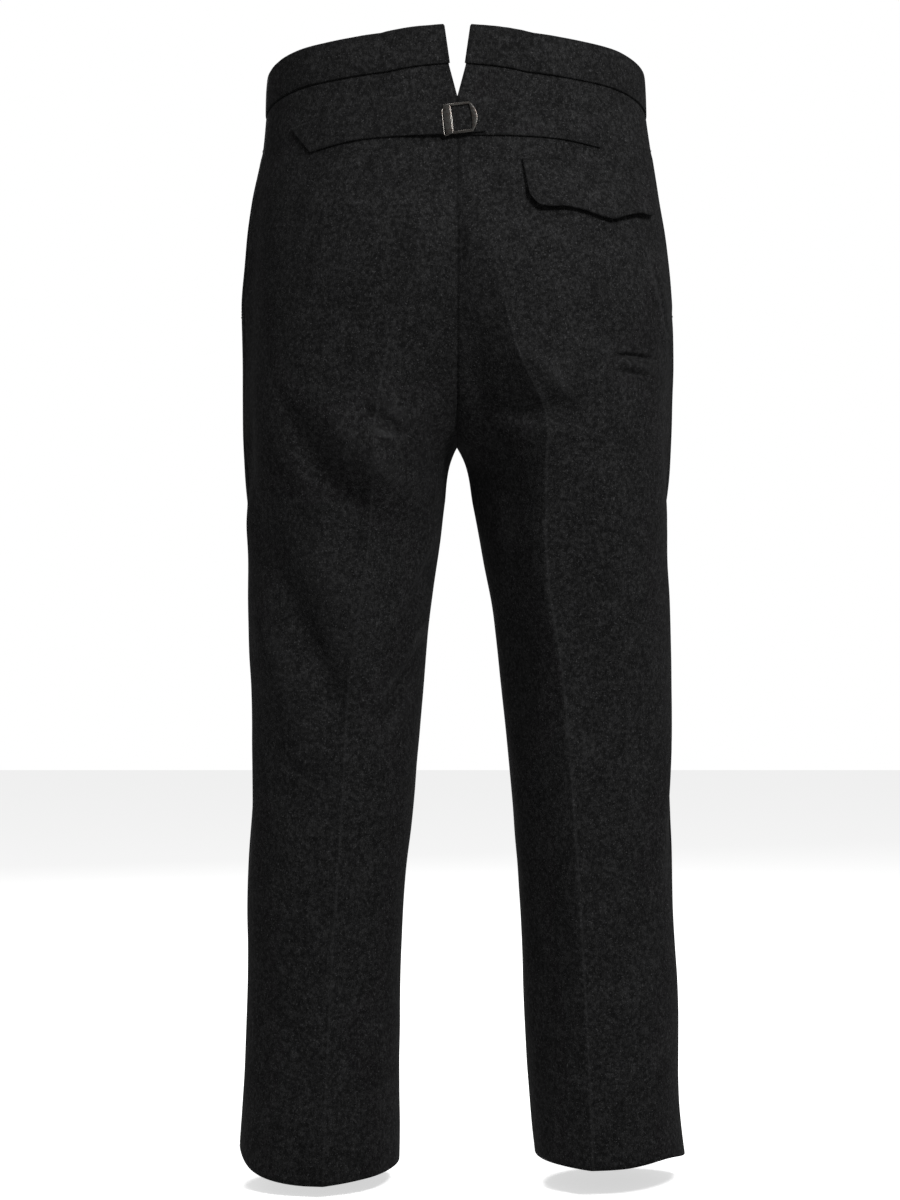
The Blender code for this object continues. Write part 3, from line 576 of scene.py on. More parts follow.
def melangeGroup():
    # dark and pale fibres felted together, with bright flecks and a short nap
    tree, ins, outs = finishGroup(
        "woolMelange", ("Fibre Scale", "Float", 520.0), ("Dark", "Color", (0.008, 0.008, 0.0083, 1)),
        ("Pale", "Color", (0.03, 0.03, 0.031, 1)), ("Fleck", "Color", (0.075, 0.075, 0.078, 1)),
        ("Edge", "Float", 0.0), ("Worn", "Float", 0.0))

    def grain(share, *kind):
        return noiseNode(tree, ins["Vector"], mathNode(tree, "MULTIPLY", ins["Fibre Scale"], share), *kind)

    fine = noiseNode(tree, ins["Vector"], ins["Fibre Scale"], 3.0, 0.66)
    clump, drift = grain(0.30, 2.0, 0.6), grain(0.045, 3.0, 0.6)
    upright = grain(0.8, 2.0, 0.5, (1.6, 1.6, 0.45))
    blend = mathNode(tree, "MULTIPLY_ADD", fine, 0.42, mathNode(tree, "MULTIPLY", clump, 0.58))
    blend = mathNode(tree, "MULTIPLY_ADD", upright, 0.25, mathNode(tree, "MULTIPLY", blend, 0.75))
    share = rangeNode(tree, blend, 0.41, 0.72, 0.0, 1.0)
    scaled = tree.nodes.new("ShaderNodeVectorMath")
    scaled.operation = "SCALE"
    joined(tree, (mixNode(tree, share, ins["Dark"], ins["Pale"]), scaled.inputs[0]),
           (rangeNode(tree, drift, 0.35, 0.65, 0.86, 1.14), scaled.inputs["Scale"]))
    flecks = rangeNode(tree, grain(0.8, 1.0, 0.4), 0.64, 0.80, 0.0, 0.75)
    # single fibres: thin curling lines, here and there
    line = mathNode(tree, "ABSOLUTE", mathNode(tree, "SUBTRACT", grain(0.33, 2.0, 0.45), 0.5))
    sparse = rangeNode(tree, grain(0.55, 1.0, 0.5), 0.50, 0.62, 0.0, 1.0)
    hair = mathNode(tree, "MULTIPLY", rangeNode(tree, line, 0.0, 0.020, 0.6, 0.0), sparse)
    # each piece is a little darker near its edges; a ridge gets a painted highlight and a fold painted shade
    edgeDarkAndCreaseHighlight = mathNode(tree, "MULTIPLY", ins["Edge"], 0.35)
    paintedHighlight = rangeNode(tree, ins["Worn"], 0.05, 1.0, 0.0, 0.22)
    paintedShade = rangeNode(tree, ins["Worn"], -1.0, -0.05, 0.30, 0.0)
    colour = scaled.outputs[0]
    for mask, tint in ((flecks, "Fleck"), (hair, "Fleck"), (edgeDarkAndCreaseHighlight, "Dark"), (paintedHighlight, "Fleck"),
                       (paintedShade, "Dark")):
        colour = mixNode(tree, mask, colour, ins[tint])
    height = mathNode(tree, "MULTIPLY_ADD", hair, 0.5, mathNode(tree, "MULTIPLY_ADD", flecks, 0.4, blend))
    joined(tree, (colour, outs["Color"]), (height, outs["Height"]),
           (rangeNode(tree, blend, 0.3, 0.7, 0.98, 0.86), outs["Roughness"]))
    return tree


def wearGroup():
    # uneven polish: colour and roughness drift over metal, horn and thread
    tree, ins, outs = finishGroup(
        "handledFinish", ("Base", "Color", (0.3, 0.28, 0.27, 1)), ("Stain", "Color", (0.12, 0.08, 0.07, 1)),
        ("Smooth", "Float", 0.18), ("Dull", "Float", 0.42), ("Grain", "Float", 900.0))
    broad = noiseNode(tree, ins["Vector"], mathNode(tree, "MULTIPLY", ins["Grain"], 0.22), 3.0, 0.6)
    fine = noiseNode(tree, ins["Vector"], ins["Grain"], 3.0, 0.6)
    stain = rangeNode(tree, broad, 0.42, 0.70, 0.0, 0.75)
    joined(tree, (mixNode(tree, stain, ins["Base"], ins["Stain"]), outs["Color"]), (fine, outs["Height"]),
           (rangeNode(tree, fine, 0.35, 0.65, ins["Smooth"], ins["Dull"]), outs["Roughness"]))
    return tree


def plainMaterial(name, values):
    material = bpy.data.materials.new(name)
    material.use_nodes = True
    shader = material.node_tree.nodes["Principled BSDF"].inputs
    for key, value in values.items():
        shader[key].default_value = value
    return material, material.node_tree, shader


def groupMaterial(name, group, values, principled, bump, marks=()):
    # one material around a shared group, with its own values
    material, tree, shader = plainMaterial(name, principled)
    place, node, relief = (tree.nodes.new("ShaderNode" + kind) for kind in ("TexCoord", "Group", "Bump"))
    node.node_tree = group
    for key, value in values.items():
        node.inputs[key].default_value = value
    for key, value in zip(("Strength", "Distance"), bump):
        relief.inputs[key].default_value = value
    joined(
        tree,
        (place.outputs["Object"], node.inputs["Vector"]),
        (node.outputs["Color"], shader["Base Color"]),
        (node.outputs["Roughness"], shader["Roughness"]),
        (node.outputs["Height"], relief.inputs["Height"]),
        (relief.outputs["Normal"], shader["Normal"]),
    )
    for mark in marks:
        reader = tree.nodes.new("ShaderNodeAttribute")
        reader.attribute_name = mark
        joined(tree, (reader.outputs["Fac"], node.inputs[mark.capitalize()]))
    return material


finishes = {
    "wool": {"Fibre Scale": 780.0, "Dark": (0.0043, 0.0043, 0.0044, 1), "Pale": (0.0198, 0.0198, 0.0201, 1),
             "Fleck": (0.042, 0.042, 0.043, 1)},
    "thread": {"Base": (0.004, 0.004, 0.0042, 1), "Stain": (0.010, 0.010, 0.0105, 1), "Smooth": 0.7,
               "Dull": 0.9, "Grain": 2500.0},
    "steel": {"Base": (0.082, 0.080, 0.075, 1), "Stain": (0.044, 0.032, 0.027, 1), "Smooth": 0.18,
              "Dull": 0.30, "Grain": 1700.0},
    "horn": {"Base": (0.020, 0.016, 0.013, 1), "Stain": (0.060, 0.042, 0.030, 1), "Smooth": 0.22,
             "Dull": 0.36, "Grain": 420.0},
}


def allMaterials():
    melange, wear = melangeGroup(), wearGroup()
    # the wool reads the edge mark and the mark of painted highlight and shade
    made = {"wool": groupMaterial(
        "charcoalMelangeWool", melange, finishes["wool"],
        {"Sheen Weight": 0.012, "Sheen Roughness": 0.5, "Sheen Tint": (0.8, 0.8, 0.82, 1),
         "Specular IOR Level": 0.03}, (0.6, 0.0006), ("edge", "worn"))}
    made["thread"] = groupMaterial("darkThread", wear, finishes["thread"],
                                   {"Sheen Weight": 0.02, "Specular IOR Level": 0.1}, (0.3, 0.0001))
    made["steel"] = groupMaterial("darkNickel", wear, finishes["steel"], {"Metallic": 1.0}, (0.02, 0.0001))
    made["horn"] = groupMaterial("darkHorn", wear, finishes["horn"],
                                 {"Coat Weight": 0.25, "Coat Roughness": 0.2}, (0.05, 0.0001))
    print("materials made")
    return made


finish = allMaterials()

# Back and front panels
panelSizes = {
    "backColumns": (44, 78),     # centre to crease, crease to side seam
    "frontColumns": (58, 44),
    "rows": ((-0.130, 50), (-0.240, 34), (-0.275, 26), (-0.360, 30), (-0.520, 46), (-1.040, 112)),
    "crowd": 0.78,
    "topGroove": 0.0013,     # the panel's top dips under the band and runs a little way up behind it
    "topGrooveWidth": 0.0022,
    "tuckedUp": 0.0025,
    "forkRows": (-0.3326, -0.3333, -0.33375, -0.33395),   # close, so that no slit opens at the fork
    "hemBulge": 0.0009,
    "paintedLightSpread": 8,
    "paintedLightDepth": 0.0022,
    "edgeDarkAndCreaseHighlight": 0.52,         # painted highlight along the pressed crease
    "creaseHighlightWidth": 0.0016,
    "creaseHighlightFrom": (0.16, 0.24),     # fades in this far down
    "topRows": (0.0008, -0.0005, -0.0010, -0.0016, -0.0023),   # more rows over the groove at its top
    "slant": (0.480, 1.040),         # the rows turn from level to the slant of the hem
}


def panelGrids(side, around):
    p, b = panelSizes, bodySizes
    top = waistLevel(around) - b["bandHeight"]
    hem = smoothAt(around, hems["around"], hems[handOf[side]])
    stops, counts = zip(*p["rows"])
    plain = spacedBy([top.mean(), *stops], counts)
    extra = top.mean() + np.array([p["tuckedUp"], *p["topRows"]])
    plain = np.sort(np.concatenate([plain, extra, p["forkRows"]]))[::-1][:, None]
    slope = 1 - fadeBetween(-plain, 0, b["waistBlend"])
    drop = fadeBetween(-plain, *p["slant"])
    level = plain + (top - top.mean()) * slope + (hem + p["slant"][1]) * drop
    fromTop = np.maximum(top - level, 0)
    dip = p["topGroove"] * bellOf(fromTop, p["topGrooveWidth"])
    outer = skinAt(side, around[None], level, -dip, b["grooveDepth"])
    # painted highlight along the ridges and painted shade in the folds, from the relief less a blurred copy
    # of it
    lift = reliefAt(side, side * outer[..., 0], outer[..., 1], level)
    wide = lift.copy()
    for _ in range(p["paintedLightSpread"]):
        wide[1:-1] = (wide[:-2] + wide[1:-1] + wide[2:]) / 3
        wide[:, 1:-1] = (wide[:, :-2] + wide[:, 1:-1] + wide[:, 2:]) / 3
    worn = np.clip((lift - wide) / p["paintedLightDepth"], -1, 1)
    # a painted highlight along the pressed crease itself, joined to the mark
    crease = smoothAt(level, creases["level"], creases[handOf[side]])
    edgeDarkAndCreaseHighlight = p["edgeDarkAndCreaseHighlight"] * bellOf(side * outer[..., 0] - crease, p["creaseHighlightWidth"])
    worn = np.maximum(worn, edgeDarkAndCreaseHighlight * fadeBetween(-level, *p["creaseHighlightFrom"]))
    toHem = level - level[-1:]
    wall = b["clothWall"] + (b["hemWall"] - b["clothWall"]) * (toHem < b["hemTurn"])
    inner = skinAt(side, around[None], level, -dip - wall, b["grooveDepth"])
    return outer, inner, worn


def panelPiece(name, node, side, around, flat, area):
    outer, inner, worn = panelGrids(side, around)
    bulge = (0, 0, panelSizes["hemBulge"], 0)
    piece = clothMesh(name, outer, inner, finish["wool"], side < 0, bulge, worn=worn)
    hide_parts(node)
    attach(piece, "root")


cuts = {
    "back": {"flat": (0.36, 1.10), "area": 0.281},
    "front": {"flat": (0.39, 1.07), "area": 0.299},
}
for side, hand in handOf.items():
    p = panelSizes
    backAround = spacedBy([0, 0.5, 1 - 1e-9], p["backColumns"], p["crowd"])
    frontAround = spacedBy([1, 1.5, 2], p["frontColumns"], p["crowd"])
    panelPiece(f"backPanel_{hand}", f"back_{hand}", side, backAround, **cuts["back"])
    panelPiece(f"frontPanel_{hand}", f"front_{hand}", side, frontAround, **cuts["front"])
print("panels made")

# Waistband
bandSizes = {
    "wall": 0.0032,
    "proud": 0.0008,
    "clearance": 0.0005,
    "columns": (40, 70, 54, 40),
    "rows": 18,
    "swell": 0.0009,      # the turned cloth stands fullest along the middle of the band
    "uneven": (0.0004, 0.02),
    "length": 0.530,
    "lap": 0.036,
    "lapRun": 0.045,
    "lapColumns": 26,
    "under": 0.004,       # the right band ends this far past the centre, caught inside the left one
    "underColumns": 4,
    "underSunk": 0.0003,
    "edgeBulge": 0.0012,
}


def bandPiece(side):
    p, b = bandSizes, bodySizes
    counts = p["columns"]
    around = spacedBy([0, 0.5, 1, 1.5, 2], counts, 0.6)
    share = spacedBy([0, 1], [p["rows"]], 0.7)[:, None]
    top = waistLevel(around)
    level = top - b["bandHeight"] * share
    full = p["swell"] * np.sin(np.pi * share) ** 0.7
    height, cell = p["uneven"]
    out = p["proud"] + full + height * cloudsAt(around * 0.4, level, cell, 21 + side)
    plain = skinAt(side, around[None], level)
    rise, over, run, columns = 0 * around, -p["underSunk"], p["under"], p["underColumns"]
    if side > 0:
        over, run, columns = p["wall"] + p["clearance"], p["lap"], p["lapColumns"]
        toFront = np.where(around > 1, np.abs(plain[0, :, 0]), p["lapRun"])
        rise = over * (1 - fadeBetween(toFront, 0.0, p["lapRun"]))
    # behind, the left band lies on the panel as far as the centre, where it steps over the right one
    step = rise * (around == around[-1])
    faces = [skinAt(side, around[None], level, out + rise),
             skinAt(side, around[None], level, out + step - p["wall"] - full)]
    beyond = -side * spacedBy([0, run], [columns], 0.6)[1:]
    ends = np.full(beyond.shape, top[-1]) - b["bandHeight"] * share
    lift = p["proud"] + over + full + 0 * beyond
    for i, inset in enumerate((0 * full, p["wall"] + full)):
        faces[i] = np.concatenate([faces[i], faceAt(beyond, ends, lift - inset, front=True)], 1)
    hand = handOf[side]
    r = p["edgeBulge"]
    piece = clothMesh(f"band_{hand}", *faces, finish["wool"], side < 0, (r, r, 0.0002, r), 4)
    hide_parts(f"waistband_{hand}")
    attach(piece, "root")


for side in handOf:
    bandPiece(side)
print("waistband made")

# Cinch straps, flap and fly
strapSizes = {"wall": 0.0018, "clearance": 0.0005, "faces": (150, 22), "bulge": 0.0006, "swell": 0.0004,
              "sunk": 0.0025}   # its top edge is caught in a seam, away from the loose tail
strapEdges = {
    "left": tableOf("low_x low_level high_x high_level lift", [
        (-0.027, -0.0385, -0.029, -0.018, 0.0024),
        (-0.022, -0.042, -0.022, -0.0145, 0.0024),
        (0.022, -0.0445, 0.022, -0.0135, 0.0024),
        (0.06, -0.0453, 0.062, -0.0135, 0.0),
        (0.1, -0.048, 0.108, -0.016, 0.0),
        (0.142, -0.056, 0.162, -0.0285, 0.0),
    ]),
    "right": tableOf("low_x low_level high_x high_level lift", [
        (0.018, -0.043, 0.018, -0.0145, 0.0),
        (-0.02, -0.0445, -0.02, -0.0135, 0.0),
        (-0.06, -0.0446, -0.062, -0.0135, 0.0),
        (-0.1, -0.0463, -0.104, -0.0155, 0.0),
        (-0.137, -0.052, -0.147, -0.022, 0.0),
    ]),
}


def strapPiece(hand):
    p, edges = strapSizes, strapEdges[hand]
    along = np.linspace(0, 1, len(edges["lift"]))
    at = spacedBy([0, 1], [p["faces"][0]], 0.5)
    lowX, low, highX, high, lift = (smoothAt(at, along, edges[key]) for key in edges)
    up = 1 - spacedBy([0, 1], [p["faces"][1]], 0.7)[:, None]
    x = lowX + (highX - lowX) * up
    level = low + (high - low) * up
    under = p["clearance"] + np.maximum(lift, 0)
    full = p["swell"] * np.sin(np.pi * up) ** 0.6 + 0 * at
    sewn = p["sunk"] * bellOf(1 - up, 0.05) * fadeBetween(-lift, -0.0012, 0)
    outer = faceAt(x, level, under + p["wall"] + full - sewn)
    inner = faceAt(x, level, under - sewn)
    piece = clothMesh(f"cinchStrap_{hand}", outer, inner, finish["wool"], hand == "right", (p["bulge"],) * 4)
    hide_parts(f"cinch_strap_{hand}")
    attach(piece, "root")


strapPiece("left")
strapPiece("right")

flapSizes = {"wall": 0.0026, "clearance": 0.0005, "stand": 0.0034, "sunk": 0.0024, "top": -0.067,
             "faces": (110, 40), "bulge": 0.0010, "curl": 0.0012}
flapEdge = tableOf("share top_x low_x low_level", [
    (0.0, 0.062, 0.068, -0.103),
    (0.06, 0.068, 0.075, -0.111),
    (0.14, 0.078, 0.084, -0.1135),
    (0.3, 0.098, 0.103, -0.113),
    (0.42, 0.115, 0.12, -0.116),
    (0.55, 0.133, 0.139, -0.1215),
    (0.62, 0.141, 0.147, -0.1225),
    (0.72, 0.153, 0.16, -0.1175),
    (0.82, 0.165, 0.172, -0.1136),
    (0.92, 0.178, 0.184, -0.113),
    (1.0, 0.187, 0.19, -0.106),
])


def flapPlaces(share, down):
    topX, lowX, low = (smoothAt(share, flapEdge["share"], flapEdge[key])
                       for key in ("top_x", "low_x", "low_level"))
    return -(topX + (lowX - topX) * down), flapSizes["top"] + (low - flapSizes["top"]) * down


def flapPiece():
    p = flapSizes
    share = spacedBy([0, 1], [p["faces"][0]], 0.5)
    down = spacedBy([0, 1], [p["faces"][1]], 0.6)[:, None]
    x, level = flapPlaces(share, down)
    curl = p["curl"] * np.sin(3.1 * np.pi * share + 0.4) * down**2
    under = p["clearance"] + p["stand"] * down**1.5 + curl - p["sunk"] * bellOf(down, 0.018)
    outer, inner = faceAt(x, level, under + p["wall"]), faceAt(x, level, under)
    r = p["bulge"]
    # painted shade along the flap's sewn top edge
    sewn = -bellOf(down, 0.022) + 0 * share
    piece = clothMesh("rearPocketFlap", outer, inner, finish["wool"], True, (0.0002, r, r, r), worn=sewn)
    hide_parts("pocket_flap")
    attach(piece, "root")


flapPiece()

flySizes = {"span": (-0.032, 0.022), "depth": 0.185, "wall": 0.0020, "clearance": 0.0010, "faces": (24, 60)}


def flyPiece():
    p, b = flySizes, bodySizes
    x = np.linspace(*p["span"], p["faces"][0] + 1)[None]
    top = waistLevel(2.0) - b["bandHeight"] - bandSizes["wall"]
    level = np.linspace(top, top - p["depth"], p["faces"][1] + 1)[:, None]
    out = -b["clothWall"] - p["clearance"]
    outer, inner = (faceAt(x, level, out - inset, front=True) for inset in (0, p["wall"]))
    piece = clothMesh("flyShield", outer, inner, finish["wool"], True, (0.0006,) * 4)
    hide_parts("fly_shield")
    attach(piece, "root")


flyPiece()
print("straps, flap and fly made")


# Buckle
buckleSizes = {
    "middle": (-0.0035, -0.0290),
    "lift": 0.0060,
    "tilt": math.radians(7),
    "half": (0.0158, 0.0150),
    "bar": 0.0066,           # the flat bar beside the wearer's left
    "crescent": 0.0062,      # how far the other end bows out
    "crescentWidth": 0.0050,
    "rail": 0.0020,
    "thick": 0.0009,
    "round": 0.00055,
    "loop": 0.0030,          # the wire loop stands this far beyond the bar
    "wire": 0.0008,
}


def bentCurve(name, kind, rounded, runs, closed=True):
    # runs are rows of points, each an outline, a hole in it or a wire's path
    curve = bpy.data.curves.new(name, "CURVE")
    curve.dimensions = kind
    curve.bevel_depth = rounded
    curve.bevel_resolution = 3
    curve.use_fill_caps = not closed
    for run in runs:
        spline = curve.splines.new("POLY")
        spline.points.add(len(run) - 1)
        for point, place in zip(spline.points, run):
            point.co = [*place, 0][:3] + [1]
        spline.use_cyclic_u = closed
    return curve


def bowed(x, low, high, bow, up=True):
    turns = np.linspace(-1, 1, 15) if up else np.linspace(1, -1, 15)
    return [(x + bow * (1 - t * t), (low + high) / 2 + (high - low) / 2 * t) for t in turns]


def meshFromCurve(name, curve, material):
    mesh = evaluatedMesh(linked(name, curve))
    shape = bmesh.new()
    shape.from_mesh(mesh)
    bmesh.ops.remove_doubles(shape, verts=shape.verts, dist=1e-6)
    bmesh.ops.recalc_face_normals(shape, faces=shape.faces)
    shape.to_mesh(mesh)
    shape.free()
    mesh.name = name
    mesh.materials.clear()
    mesh.materials.append(material)
    mesh.shade_smooth()
    mesh.set_sharp_from_angle(angle=math.radians(40))
    return mesh


def roundWire(name, radius, path):
    return meshFromCurve(name + "Mesh", bentCurve(name, "3D", radius, [path], False), finish["steel"])


def flatPlate(name, extrude, rounded, runs, material):
    curve = bentCurve(name, "2D", rounded, runs)
    curve.fill_mode = "BOTH"
    curve.extrude = extrude
    return meshFromCurve(name + "Mesh", curve, material)


def placedMesh(mesh, origin, across, upward, outward):
    # puts a flat mesh, drawn in X and Y with Z out, onto the garment
    turn = np.stack([across, upward, outward], 1)
    points = np.empty(len(mesh.vertices) * 3)
    mesh.vertices.foreach_get("co", points)
    mesh.vertices.foreach_set("co", (points.reshape(-1, 3) @ turn.T + origin).ravel())
    mesh.update()


def joinedObject(name, meshes):
    shape = bmesh.new()
    for mesh in meshes:
        shape.from_mesh(mesh)
    whole = bpy.data.meshes.new(name)
    shape.to_mesh(whole)
    shape.free()
    for material in meshes[0].materials:
        whole.materials.append(material)
    for mesh in meshes:
        bpy.data.meshes.remove(mesh)
    return linked(name, whole)


def bucklePiece():
    p = buckleSizes
    w, h = p["half"]
    r = p["round"]
    # drawn as the wearer's back is seen: -X here is the wearer's left
    right, low, high = w - p["crescent"], -h + p["rail"], h - p["rail"]
    outline = bowed(right, -h + r, h - r, p["crescent"] - r)
    outline += bowed(-w + r, -h + r, h - r, -0.0008, up=False)
    hole = bowed(right - 0.0002, low, high, p["crescent"] - p["crescentWidth"])
    hole += bowed(-w + p["bar"], low, high, 0.0004, up=False)
    mesh = flatPlate("plate", p["thick"] - r, r, [outline, hole], finish["steel"])
    # a raised bead along the bar's inner edge, where the strap is gripped
    x, z = -w + p["bar"] - 0.0006, p["thick"] * 0.8
    bead = roundWire("bead", p["wire"] * 0.75, [(x, low - 0.0004, z), (x, high + 0.0004, z)])
    # the loop behind: a thin wire beside the bar, its feet turned in under it
    x = -w - p["loop"] + p["wire"]
    loop = roundWire("loop", p["wire"], [
        (-w + 0.003, -h + 0.0006, -0.0012), (x + 0.0012, -h - 0.0004, -0.0008),
        (x, -h + 0.0014, -0.0006), (x + 0.0002, -h + 0.0060, -0.0004),
        (x + 0.0006, h - 0.0080, -0.0004), (x + 0.0010, h - 0.0052, -0.0006),
        (x + 0.0022, h - 0.0040, -0.0009), (-w + 0.003, h - 0.0038, -0.0012)])
    piece = joinedObject("cinchBuckle", [mesh, bead, loop])
    piece.data.shade_smooth()
    piece.data.set_sharp_from_angle(angle=math.radians(50))
    x, level = p["middle"]
    at = faceAt(x, level, p["lift"])
    upward = faceAt(x, level + h, 0.0) - faceAt(x, level - h, 0.0)
    upward /= np.linalg.norm(upward)
    across = np.array([-1.0, 0.0, 0.0])
    outward = np.cross(across, upward)
    c, s = math.cos(p["tilt"]), math.sin(p["tilt"])
    placedMesh(piece.data, at, across * c + upward * s, upward * c - across * s, outward)
    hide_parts("cinch_buckle")
    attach(piece, "root")


bucklePiece()

# Button
buttonSizes = {"radius": 0.0085, "thick": 0.0030, "hole": 0.0009, "holeOff": 0.0017, "seat": 0.0009,
               "rim": 0.0010, "rimRise": 0.0005}
# the middle of the lap at the front, and how far its face stands off the panel
lapLevel = waistLevel(2.0) - bodySizes["bandHeight"] / 2
lapLift = sum(bandSizes[key] for key in ("proud", "swell", "wall", "clearance"))


def circleOf(radius, steps, x=0.0, y=0.0):
    turns = np.linspace(0, 2 * math.pi, steps, endpoint=False)
    return [(x + radius * math.cos(t), y + radius * math.sin(t)) for t in turns]


def buttonPiece():
    p, b = buttonSizes, bandSizes
    runs = [circleOf(p["radius"] - 0.0006, 48)]
    off = p["holeOff"]
    runs += [circleOf(p["hole"] + 0.0004, 14, x, y) for x in (-off, off) for y in (-off, off)]
    plate = flatPlate("disc", p["thick"] * 0.16, p["thick"] * 0.18, runs, finish["horn"])
    ring = [(x, y, p["rimRise"]) for x, y in circleOf(p["radius"] - p["rim"], 48)]
    rim = meshFromCurve("rimMesh", bentCurve("rim", "3D", p["rim"], [ring]), finish["horn"])
    piece = joinedObject("waistButton", [plate, rim])
    piece.data.shade_smooth()
    at = faceAt(-b["lap"] / 2, lapLevel, lapLift + p["seat"] + p["thick"] / 2, front=True)
    placedMesh(piece.data, at, np.array([1.0, 0, 0]), np.array([0, 0, 1.0]), np.array([0, -1.0, 0]))
    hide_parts("waist_button")
    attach(piece, "root")


buttonPiece()
print("buckle and button made")


# Stitches
def stitchTree():
    tree = bpy.data.node_groups.new("stitchRun", "GeometryNodeTree")
    ins, outs = socketsOf(
        tree,
        [("Path", "Geometry"), ("Pitch", "Float", 0.0028),
         ("Length", "Float", 0.0020), ("Thickness", "Float", 0.00045),
         ("Thread", "Material")],
        [("Stitches", "Geometry")],
    )
    add = tree.nodes.new
    toCurve = add("GeometryNodeMeshToCurve")
    spaced = add("GeometryNodeResampleCurve")
    spaced.mode = "LENGTH"
    tangent = add("GeometryNodeInputTangent")
    align = add("FunctionNodeAlignRotationToVector")
    align.axis = "X"
    bead = add("GeometryNodeMeshUVSphere")
    bead.inputs["Segments"].default_value = 6
    bead.inputs["Rings"].default_value = 4
    bead.inputs["Radius"].default_value = 0.5
    size = add("ShaderNodeCombineXYZ")
    place = add("GeometryNodeInstanceOnPoints")
    solid = add("GeometryNodeRealizeInstances")
    paint = add("GeometryNodeSetMaterial")
    joined(
        tree,
        (ins.outputs["Path"], toCurve.inputs[0]),
        (toCurve.outputs[0], spaced.inputs["Curve"]),
        (ins.outputs["Pitch"], spaced.inputs["Length"]),
        (tangent.outputs[0], align.inputs["Vector"]),
        (ins.outputs["Length"], size.inputs["X"]),
        (ins.outputs["Thickness"], size.inputs["Y"]),
        (ins.outputs["Thickness"], size.inputs["Z"]),
        (spaced.outputs[0], place.inputs["Points"]),
        (bead.outputs["Mesh"], place.inputs["Instance"]),
        (align.outputs[0], place.inputs["Rotation"]),
        (size.outputs[0], place.inputs["Scale"]),
        (place.outputs[0], solid.inputs[0]),
        (solid.outputs[0], paint.inputs["Geometry"]),
        (ins.outputs["Thread"], paint.inputs["Material"]),
        (paint.outputs[0], outs.inputs["Stitches"]),
    )
    return tree


stitching = stitchTree()


def stitchPiece(name, paths, values):
    # paths are rows of points on the cloth; the result is one plain mesh
    mesh = bpy.data.meshes.new(name)
    points = np.concatenate(paths)
    edges, start = [], 0
    for path in paths:
        edges += [(start + i, start + i + 1) for i in range(len(path) - 1)]
        start += len(path)
    mesh.from_pydata(points.tolist(), edges, [])
    holder = linked(name, mesh)
    modifier = holder.modifiers.new("Stitches", "NODES")
    modifier.node_group = stitching
    sockets = {item.name: item.identifier for item in stitching.interface.items_tree
               if item.item_type == "SOCKET" and item.in_out == "INPUT"}
    for key, value in values.items():
        modifier[sockets[key]] = value
    modifier[sockets["Thread"]] = finish["thread"]
    solid = evaluatedMesh(holder)
    solid.shade_smooth()
    piece = linked(name, solid)
    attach(piece, "root")


stitchSizes = {
    "edge": {"Pitch": 0.0030, "Length": 0.0021, "Thickness": 0.00042},
    "tack": {"Pitch": 0.0008, "Length": 0.0016, "Thickness": 0.0005},
    "hole": {"Pitch": 0.0007, "Length": 0.0012, "Thickness": 0.0006},
    "thread": {"Pitch": 0.0006, "Length": 0.0012, "Thickness": 0.0008},
    "lie": 0.00008,      # how far the thread's middle lies above the cloth
    "flapRow": 0.035,    # share of the flap's height
    "flyRow": {"x": 0.036, "top": -0.002, "foot": -0.150, "turn": 0.030},
    "flyTack": {"x": (0.001, 0.009), "level": -0.181},
    "besideMouth": 1.035,
    "slot": {"off": 0.005, "half": 0.0105, "open": 0.0016, "lie": 0.0002},
}


def flapStitches():
    p, down = flapSizes, stitchSizes["flapRow"]
    share = np.linspace(0.01, 0.99, 200)
    x, level = flapPlaces(share, np.full(share.shape, down))
    under = p["clearance"] + p["wall"] + p["stand"] * down**1.5 + stitchSizes["lie"]
    stitchPiece("flapStitches", [faceAt(x, level, under)], stitchSizes["edge"])


def flyStitches():
    # the curved row that holds the fly facing to the left front, and a bar tack at its foot
    lie, p, t = (stitchSizes[key] for key in ("lie", "flyRow", "flyTack"))
    drop = np.linspace(p["top"], p["foot"], 120)
    turn = np.linspace(0, math.pi / 2, 30)[1:]
    x = np.concatenate([np.full(drop.shape, p["x"]), p["x"] * np.cos(turn)])
    level = np.concatenate([drop, p["foot"] - p["turn"] * np.sin(turn)])
    row = faceAt(x, level, lie, front=True)
    tack = faceAt(np.linspace(*t["x"], 20), np.full(20, t["level"]), lie * 2, front=True)
    stitchPiece("flyStitches", [row], stitchSizes["edge"])
    stitchPiece("flyTack", [tack], stitchSizes["tack"])


def pocketTacks():
    # a bar tack at the head and the foot of each pocket mouth, and the row along its front edge
    beside = stitchSizes["besideMouth"]
    across, down = np.linspace(1.0, beside, 16), np.linspace(*pocketMouth, 90)
    for side, hand in handOf.items():
        rows = [skinAt(side, across, np.full(16, level), 0.0003) for level in pocketMouth]
        stitchPiece(f"pocketTacks_{hand}", rows, stitchSizes["tack"])
        row = skinAt(side, np.full(90, beside), down, stitchSizes["lie"])
        stitchPiece(f"pocketStitches_{hand}", [row], stitchSizes["edge"])


def buttonHole():
    p = stitchSizes["slot"]
    turn = np.linspace(0, 2 * math.pi, 60)
    x = -bandSizes["lap"] / 2 - p["off"] + p["half"] * np.cos(turn)
    row = faceAt(x, lapLevel + p["open"] * np.sin(turn), lapLift + p["lie"], front=True)
    stitchPiece("buttonHole", [row], stitchSizes["hole"])


def buttonThread():
    p = buttonSizes
    along = np.linspace(-1, 1, 12)
    x = along * p["holeOff"] - bandSizes["lap"] / 2
    out = lapLift + p["seat"] + p["thick"] + 0.0003 - 0.0016 * along**4
    rows = [faceAt(x, lapLevel + side * p["holeOff"], out, front=True) for side in (-1, 1)]
    stitchPiece("buttonThread", rows, stitchSizes["thread"])


for sew in (flapStitches, flyStitches, pocketTacks, buttonHole, buttonThread):
    sew()
print("stitches made")

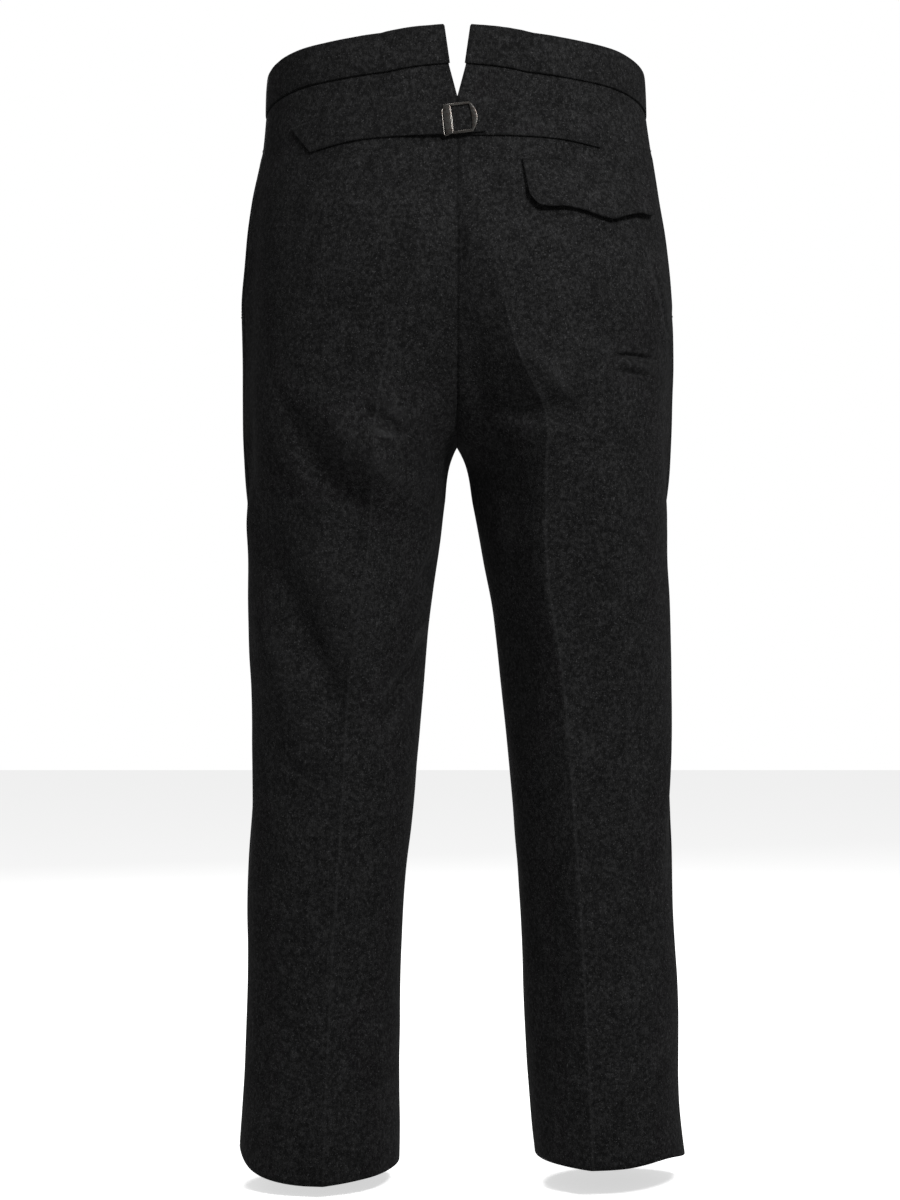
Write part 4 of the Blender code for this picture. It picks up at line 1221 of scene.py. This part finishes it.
# Floor, light and camera
stageSizes = {
    "cameraPlace": (0.007, 2.5, -0.487),
    "lens": 75.0,
    "sensor": 36.0,
    "floorDrop": 0.012,      # below the longest hem
    "floorSize": 12.0,
    "floorGlow": 0.62,
    "fill": 0.29,            # white all round, for what the lamps miss
}


def litApart(tree, socket, otherwise, seen):
    # one strength as the camera sees it, another for the light it gives
    ray = tree.nodes.new("ShaderNodeLightPath").outputs["Is Camera Ray"]
    tree.links.new(rangeNode(tree, ray, 0.0, 1.0, otherwise, seen), socket)


def paleFloor():
    # white paper, lit a little from within as the camera sees it, so that it meets the white behind
    material, tree, shader = plainMaterial("paleFloor", {
        "Base Color": (0.80, 0.80, 0.80, 1), "Roughness": 0.95, "Specular IOR Level": 0.0,
        "Emission Color": (1, 1, 1, 1)})
    litApart(tree, shader["Emission Strength"], 0.0, stageSizes["floorGlow"])
    return material


def studio():
    p = stageSizes
    low = cadBox[0][2] - p["floorDrop"]
    half = p["floorSize"] / 2
    mesh = bpy.data.meshes.new("floor")
    corners = [(x * half, y * half, low) for x, y in ((-1, -1), (1, -1), (1, 1), (-1, 1))]
    mesh.from_pydata(corners, [], [(0, 1, 2, 3)])
    mesh.materials.append(paleFloor())
    floor = linked("floor", mesh)
    world = bpy.data.worlds.new("studio")
    world.use_nodes = True
    sky = world.node_tree.nodes["Background"].inputs
    sky["Color"].default_value = (1, 1, 1, 1)
    litApart(world.node_tree, sky["Strength"], p["fill"], 1.0)
    bpy.context.scene.world = world
    lamps = {
        "keyRight": {"place": (-0.86, 1.44, 0.92), "aim": (-0.05, 0.1, -0.20), "size": 0.45, "power": 47},
        "overWaist": {"place": (0.24, 0.70, 1.05), "aim": (0.05, 0.12, 0.02), "size": 0.4, "power": 6},
        "frontKey": {"place": (0.46, -1.62, 0.92), "aim": (0.03, -0.1, -0.20), "size": 0.45, "power": 44},
    }
    for name, lamp in lamps.items():
        data = bpy.data.lights.new(name, "AREA")
        data.size = lamp["size"]
        data.energy = lamp["power"]
        made = linked(name, data)
        made.location = lamp["place"]
        made.visible_camera = False
        aim = np.array(lamp["aim"]) - np.array(lamp["place"])
        made.rotation_euler = Vector(aim).to_track_quat("-Z", "Y").to_euler()
    data = bpy.data.cameras.new("camera")
    data.lens = p["lens"]
    data.sensor_fit = "VERTICAL"
    data.sensor_width = data.sensor_height = p["sensor"]
    camera = linked("camera", data)
    camera.location = p["cameraPlace"]
    camera.rotation_euler = (math.radians(90), 0, math.radians(180))
    bpy.context.scene.camera = camera
    bpy.context.scene.view_settings.view_transform = "Standard"


studio()
print("stage set")
